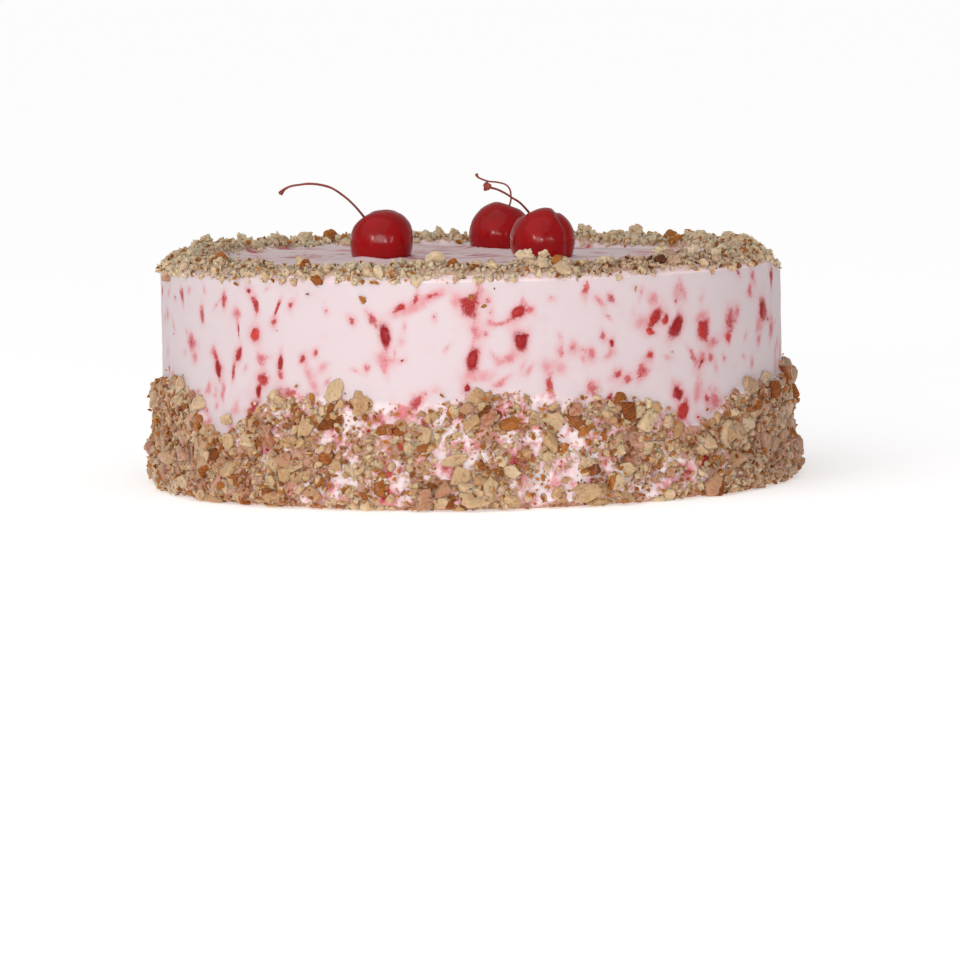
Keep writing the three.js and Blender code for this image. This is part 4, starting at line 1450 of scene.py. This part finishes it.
def cherry_mesh(cherry, sizes):
    """A plump ball with the hollow round its stem, the crease down one side and slight dents."""
    spots, faces = ball_form(CHERRY_LEVEL)
    right, back = (math.radians(v) for v in cherry["lean"])
    turn, centre = Euler((-back, right, 0), "ZYX").to_quaternion(), cherry_centre(cherry, sizes)
    shift = Vector(cherry["place"])
    crease_at, curl, depth = cherry["crease"]
    points = []
    for spot in map(Vector, spots):
        shown = turn @ spot
        from_stem = math.acos(min(max(spot.z, -1), 1))
        dimple = DIMPLE_DEPTH * bell(from_stem, DIMPLE_WIDTH)
        past = shown.x - crease_at + curl * ease(shown.z, 0.2, 1)
        crease = depth * (bell(past, CREASE_WIDTH) + 0.5 * ease(past, 0, 2 * CREASE_WIDTH))
        dents = sum(deep * noise.noise(spot * many + shift) for deep, many in CHERRY_DENTS)
        plump = sum(abs(v) ** cherry["plump"] for v in shown) ** (-1 / cherry["plump"])
        reach = (plump - dimple - crease + dents) * MM
        across, up = cherry["width"] / 2 * reach, cherry["height"] / 2 * reach
        points.append(centre + turn @ Vector((spot.x * across, spot.y * across, spot.z * up)))
    return mesh_of("cherry_" + cherry["name"], points, faces)


def cherry_finish(colours):
    """Glossy skin, a little deeper in places, with faint pores and waves."""
    gloss = {"Coat_Weight": 0.42, "Coat_Roughness": 0.2, "Coat_IOR": 1.4}
    finish = Finish("Cherry skin", Roughness=0.16, Specular_IOR_Level=0.08, **gloss)
    finish.soften(0.4, CHERRY_SCATTER)
    cloudy = finish.noise(7 * MM, 3, 0.55).between(0.3, 0.75)
    deep = tuple(CHERRY_DEPTH * v for v in colours.cherry)
    finish.feed("Base Color", finish.mix(cloudy, colours.cherry, deep))
    pores = finish.noise(0.7 * MM, 2, 0.5)
    waves = finish.noise(3.5 * MM, 3, 0.55)
    finish.bump(pores * 0.06 + waves * 0.9, 0.3, 0.5 * MM)
    return finish.material


STEM_SIDES = 14
STEM_STEPS = 72
STEM_FOOT_DEPTH = 1.6 * MM
STEM_KNOB = 0.075  # share of its length that swells into the knob
STEM_FOOT = 0.06  # and into the foot
STEM_END = (0.985, 1.0)  # where the knob rounds off
STEM_GLOW = 2.1  # how much brighter its pale streaks are


def smooth_line(points, count):
    """Points along a smooth line through the given ones, by Catmull-Rom."""
    ends = [2 * points[0] - points[1], *points, 2 * points[-1] - points[-2]]
    line = []
    for i in range(count + 1):
        at = i / count * (len(points) - 1)
        k = min(int(at), len(points) - 2)
        t = at - k
        a, b, c, d = ends[k : k + 4]
        line.append(0.5 * (2 * b + (c - a) * t + (2 * a - 5 * b + 4 * c - d) * t**2
                           + (3 * b - 3 * c + d - a) * t**3))
    return line


def stem_mesh(cherry, sizes):
    """A thin woody stem, stout where it leaves the cherry and knobbed at the tip."""
    centre = cherry_centre(cherry, sizes)
    route = [Vector(p) * MM for p in cherry["stem"]]
    foot = route[0].normalized() * (route[0].length - STEM_FOOT_DEPTH)
    line = [centre + p for p in smooth_line([foot, *route], STEM_STEPS)]
    thin, tip = cherry["radius"] * MM, cherry["tip"] * MM
    side = Vector((0, 1, 0))
    points, faces, along = [], [], []
    for i, place in enumerate(line):
        share = i / STEM_STEPS
        ahead = line[min(i + 1, STEM_STEPS)] - line[max(i - 1, 0)]
        ahead.normalize()
        side = (side - ahead * side.dot(ahead)).normalized()
        up = ahead.cross(side)
        knob = bell(1 - share, STEM_KNOB)
        swell = 0.3 * math.exp(-share / STEM_FOOT) + 0.12 * cloud(place, 4 * MM)
        radius = thin * (1 + swell) + (tip - thin) * knob
        radius *= 1 - 0.75 * ease(share, *STEM_END)
        for j in range(STEM_SIDES):
            turn = math.tau * j / STEM_SIDES
            rough = 1 + 0.10 * math.sin(3 * turn + 9 * share) + 0.12 * knob * math.sin(5 * turn)
            points.append(place + (side * math.cos(turn) + up * math.sin(turn)) * radius * rough)
            along.append(share)
    for i in range(STEM_STEPS):
        faces += joined_rows(i * STEM_SIDES, STEM_SIDES, (i + 1) * STEM_SIDES, STEM_SIDES)
    first, last = list(range(STEM_SIDES)), [STEM_STEPS * STEM_SIDES + j for j in range(STEM_SIDES)]
    faces += [first[::-1], last]
    mesh = mesh_of("stem_" + cherry["name"], points, faces)
    shaped = bmesh.new()
    shaped.from_mesh(mesh)
    bmesh.ops.recalc_face_normals(shaped, faces=shaped.faces)
    shaped.to_mesh(mesh)
    shaped.free()
    set_values(mesh, "along", along)
    return mesh


def stem_finish(colours):
    """Dull red-brown with paler streaks, more of them toward the tip."""
    finish = Finish("Cherry stem", Roughness=0.45, Specular_IOR_Level=0.4)
    along = finish.attribute("along")
    streaks = finish.noise(1.2 * MM, 3, 0.6)
    warm = tuple(min(1.0, STEM_GLOW * v) for v in colours.stem)
    share = (streaks - 0.2 + 0.3 * along.between(0.1, 0.6)).between(0.1, 0.9)
    finish.feed("Base Color", finish.mix(share, colours.stem, warm))
    finish.bump(streaks, 0.3, 0.2 * MM)
    return finish.material


# Stage

CAMERA_DISTANCE = 1.797
CAMERA_HEIGHT = 0.188
FOCAL_PIXELS = 4844.0
IMAGE_PIXELS = 960.0
SENSOR = 36.0
AXIS_PIXEL = (474.0, 476.5)  # where the middle of the base lies in the picture
CAMERA_ROLL = math.radians(0.95)
FLOOR_HALF = 90.0
FLOOR_DROP = 0.2 * MM
KEY_TURN = math.radians(-34)
KEY_RISE = math.radians(50)
KEY_SOFTNESS = math.radians(85)
KEY_STRENGTH = 0.91
BOX_DISTANCE = 1.6
# Direction and rise in degrees, width, height and strength of each softbox
BOXES = (
    (-10, 7, 0.8, 0.4, 5.2),
    (-30, 11, 0.16, 0.16, 3.2),
    (5, 5, 0.13, 0.13, 2.6),
    (25, 6, 0.11, 0.11, 0.9),
)
SKY_STRENGTH = 0.39
FLOOR_GLOW = 0.42


def make_camera():
    """A long lens a little above the cake, aimed so that the cake's base lies where it should."""
    data = bpy.data.cameras.new("camera")
    data.sensor_width = SENSOR
    data.lens = FOCAL_PIXELS * SENSOR / IMAGE_PIXELS
    data.clip_end = 4 * FLOOR_HALF
    camera = placed("camera", data)
    camera.location = (0, -CAMERA_DISTANCE, CAMERA_HEIGHT)
    right = (IMAGE_PIXELS / 2 - AXIS_PIXEL[0]) / FOCAL_PIXELS
    below = (IMAGE_PIXELS / 2 - AXIS_PIXEL[1]) / FOCAL_PIXELS
    down = math.atan2(CAMERA_HEIGHT, CAMERA_DISTANCE) + below
    aim = Euler((math.pi / 2 - down, 0, -right), "XYZ").to_matrix()
    camera.rotation_euler = (aim @ Matrix.Rotation(-CAMERA_ROLL, 3, "Z")).to_euler()
    bpy.context.scene.camera = camera


def make_floor(colours):
    """A plain pale floor that reaches past the horizon of the picture."""
    sides = ((-1, -1), (1, -1), (1, 1), (-1, 1))
    corners = [(x * FLOOR_HALF, y * FLOOR_HALF, -FLOOR_DROP) for x, y in sides]
    floor = placed("floor", mesh_of("floor", corners, [range(4)]))
    glow = {"Emission_Color": (1, 1, 1, 1), "Emission_Strength": FLOOR_GLOW}
    tone = {"Base_Color": (*colours.floor, 1), "Roughness": 0.9, "Specular_IOR_Level": 0.1}
    floor.data.materials.append(Finish("Pale floor", **tone, **glow).material)


def make_light(kind, name, direction, rise, energy):
    """A light aimed at the cake from that direction and height."""
    data = bpy.data.lights.new(name, kind)
    data.energy = energy
    light = placed(name, data)
    source = around(direction, math.cos(rise), math.sin(rise))
    light.location = source * BOX_DISTANCE
    light.rotation_euler = source.to_track_quat("Z", "Y").to_euler()
    return data


def make_lights():
    """A soft key, a broad softbox and three small ones from the front and a little above, under an
    even pale sky."""
    make_light("SUN", "key", KEY_TURN, KEY_RISE, KEY_STRENGTH).angle = KEY_SOFTNESS
    for direction, rise, width, height, energy in BOXES:
        box = make_light("AREA", "softbox", math.radians(direction), math.radians(rise), energy)
        box.shape = "ELLIPSE"
        box.size, box.size_y = width, height
    world = bpy.data.worlds.new("sky")
    world.use_nodes = True
    sky = world.node_tree.nodes["Background"].inputs
    sky["Color"].default_value = (1, 1, 1, 1)
    sky["Strength"].default_value = SKY_STRENGTH
    scene = bpy.context.scene
    scene.world = world
    scene.view_settings.view_transform = "Standard"
    scene.view_settings.look = "None"


# Kinds of chopped nut

# Skins of the shapes of each kind, then their forms, each with its detail, the proportion of its
# sides and its skin
CHIP_SKINS = (0, 0, 0.5, 0, 0, 1, 0, 0, 1, 0, 2)
LUMP_SKINS = (0, 0, 0, 0.5, 0, 0, 1, 0, 0)
GRAIN_SKINS = (0, 0, 1, 0, 0, 0.5)
CRUMB_SKINS = (0, 2, 0, 0, 2)
RIM_CRUMB_SKINS = (0, 0, 0, 0, 2)
CHIP_FORMS = [
    (slab_form, (14, 5 + i % 4), (1, 0.75 + i % 5 * 0.06, 0.8), skin)
    for i, skin in enumerate(2 * CHIP_SKINS)
]
CHIP_FORMS += [(chip_form, (2, i % 4, 0.3), (1, 0.8, 0.6), skin) for i, skin in enumerate(CHIP_SKINS)]
LUMP_FORMS = [(chip_form, (2, i % 4, 0.45), (1, 0.85, 0.7), s) for i, s in enumerate(2 * LUMP_SKINS)]
LUMP_FORMS += [(lump_form, (2, 0.8), (1, 0.85, 0.75), skin) for skin in LUMP_SKINS]
GRAIN_FORMS = [(shard_form, (14,), (1, 0.85, 0.65), skin) for skin in 4 * GRAIN_SKINS]
CRUMB_FORMS = [(shard_form, (8,), (1, 0.8, 0.6), skin) for skin in 4 * CRUMB_SKINS]
RIM_CRUMB_FORMS = [(shard_form, (8,), (1, 0.8, 0.6), skin) for skin in 4 * RIM_CRUMB_SKINS]
FLAKE_FORMS = [(shard_form, (9,), (1, 0.6, 0.35), 2)] * 16
NUT_KINDS = (
    NutKind("nut_chips", "chips", 100, CHIP_FORMS, 3, 4.0, 3.4, 9.5, 110000.0, 1.6, -0.2, 0.06, 0.3),
    NutKind("nut_lumps", "lumps", 150, LUMP_FORMS, 4, 2.7, 2.0, 6.5, 200000.0, 2.0, -0.3, 0.1, 1.5),
    NutKind("nut_grains", "grains", 200, GRAIN_FORMS, 5, 2.2, 1.5, 4.2, 300000.0, 1.4, -0.2, 0.25, 1.2),
    NutKind("nut_crumbs", "crumbs", 250, CRUMB_FORMS, 8, 1.3, 0.6, 1.9, 600000.0, 1.5, 0.0, 0.6, 1.5),
    NutKind("rim_crumbs", "rim", 230, RIM_CRUMB_FORMS, 13, 1.2, 0.8, 2.5, 900000.0, 1.6, 0.0, 0.5, 1.5),
    NutKind("nut_flakes", "flakes", 280, FLAKE_FORMS, 11, 1.5, 0.7, 3.0, 400000.0, 1.6, 0.2, 0.7, 0.8),
)


# Operators


class CAKE_OT_stage(bpy.types.Operator):
    """Makes the camera, the floor and the light"""

    bl_idname = "cake.stage"
    bl_label = "Stage"

    def execute(self, context):
        make_camera()
        make_floor(context.scene.cake_colours)
        make_lights()
        return {"FINISHED"}


class CAKE_OT_frosting(bpy.types.Operator):
    """Makes the frosted wall and top"""

    bl_idname = "cake.frosting"
    bl_label = "Frosting"

    def execute(self, context):
        sizes, colours = context.scene.cake_sizes, context.scene.cake_colours
        mesh = frosting_mesh(sizes, bits_of_cherry(sizes))
        piece_of(mesh, "frosting", frosting_finish(colours, sizes), "frosting", "frosted_cake")
        return {"FINISHED"}


class CAKE_OT_cherry_bits(bpy.types.Operator):
    """Sets bits of chopped cherry into the frosting"""

    bl_idname = "cake.cherry_bits"
    bl_label = "Bits of cherry"

    def execute(self, context):
        sizes = context.scene.cake_sizes
        proud = [bit for bit in bits_of_cherry(sizes) if bit.depth < PROUD_DEPTH]
        material = bit_finish(context.scene.cake_colours)
        piece_of(bit_mesh(proud), "cherry_bits", material, "cherry_bit")
        return {"FINISHED"}


class CAKE_OT_nuts(bpy.types.Operator):
    """Strews chopped nuts round the foot and on the rim"""

    bl_idname = "cake.nuts"
    bl_label = "Chopped nuts"

    def execute(self, context):
        sizes = context.scene.cake_sizes
        material = nut_finish(context.scene.cake_colours, sizes)
        frosting = bpy.data.objects["frosting"].data
        surface = BVHTree.FromObject(bpy.data.objects["frosting"], context.evaluated_depsgraph_get())
        for kind in NUT_KINDS:
            shapes = shapes_of(kind.name + "_shape", kind.shape_seed, kind.forms)
            mesh = strewn_nuts(kind, frosting, shapes, material)
            set_clearance(mesh, surface, FILM_SHARE * (kind.smallest * MM))
            piece_of(mesh, kind.name, material, "chopped_nut")
            drop_shapes(shapes)
        for name in STREWING:
            frosting.attributes.remove(frosting.attributes[name])
        mesh, reach = shown_nut_mesh(sizes)
        set_clearance(mesh, surface, reach)
        piece_of(mesh, "shown_nuts", material, "chopped_nut")
        return {"FINISHED"}


class CAKE_OT_cherries(bpy.types.Operator):
    """Makes the cherries on the top"""

    bl_idname = "cake.cherries"
    bl_label = "Cherries"

    def execute(self, context):
        finish = cherry_finish(context.scene.cake_colours)
        for cherry in CHERRIES:
            mesh = cherry_mesh(cherry, context.scene.cake_sizes)
            piece_of(mesh, "fruit_" + cherry["name"], finish, "cherry", "cherry_" + cherry["name"])
        return {"FINISHED"}


class CAKE_OT_stems(bpy.types.Operator):
    """Makes the stems of the cherries"""

    bl_idname = "cake.stems"
    bl_label = "Stems"

    def execute(self, context):
        finish = stem_finish(context.scene.cake_colours)
        for cherry in CHERRIES:
            mesh = stem_mesh(cherry, context.scene.cake_sizes)
            piece_of(mesh, "stalk_" + cherry["name"], finish, "stem", "stem_" + cherry["name"])
        return {"FINISHED"}


OPERATORS = (
    CAKE_OT_stage,
    CAKE_OT_frosting,
    CAKE_OT_cherry_bits,
    CAKE_OT_nuts,
    CAKE_OT_cherries,
    CAKE_OT_stems,
)


class CAKE_PT_panel(bpy.types.Panel):
    """Sizes, colours and the steps that build the cake"""

    bl_idname = "CAKE_PT_panel"
    bl_label = "Cherry cake"
    bl_space_type = "VIEW_3D"
    bl_region_type = "UI"
    bl_category = "Cake"

    def draw(self, context):
        for group in (context.scene.cake_sizes, context.scene.cake_colours):
            box = self.layout.box()
            for name in group.__annotations__:
                box.prop(group, name)
        for operator in OPERATORS:
            self.layout.operator(operator.bl_idname)


CLASSES = (CakeSizes, CakeColours, *OPERATORS, CAKE_PT_panel)


def register():
    for cls in CLASSES:
        bpy.utils.register_class(cls)
    bpy.types.Scene.cake_sizes = PointerProperty(type=CakeSizes)
    bpy.types.Scene.cake_colours = PointerProperty(type=CakeColours)


def unregister():
    del bpy.types.Scene.cake_colours
    del bpy.types.Scene.cake_sizes
    for cls in reversed(CLASSES):
        bpy.utils.unregister_class(cls)


def main():
    register()
    bpy.ops.cake.stage()
    bpy.ops.cake.frosting()
    bpy.ops.cake.cherry_bits()
    bpy.ops.cake.nuts()
    bpy.ops.cake.cherries()
    bpy.ops.cake.stems()


if __name__ == "__main__":
    main()
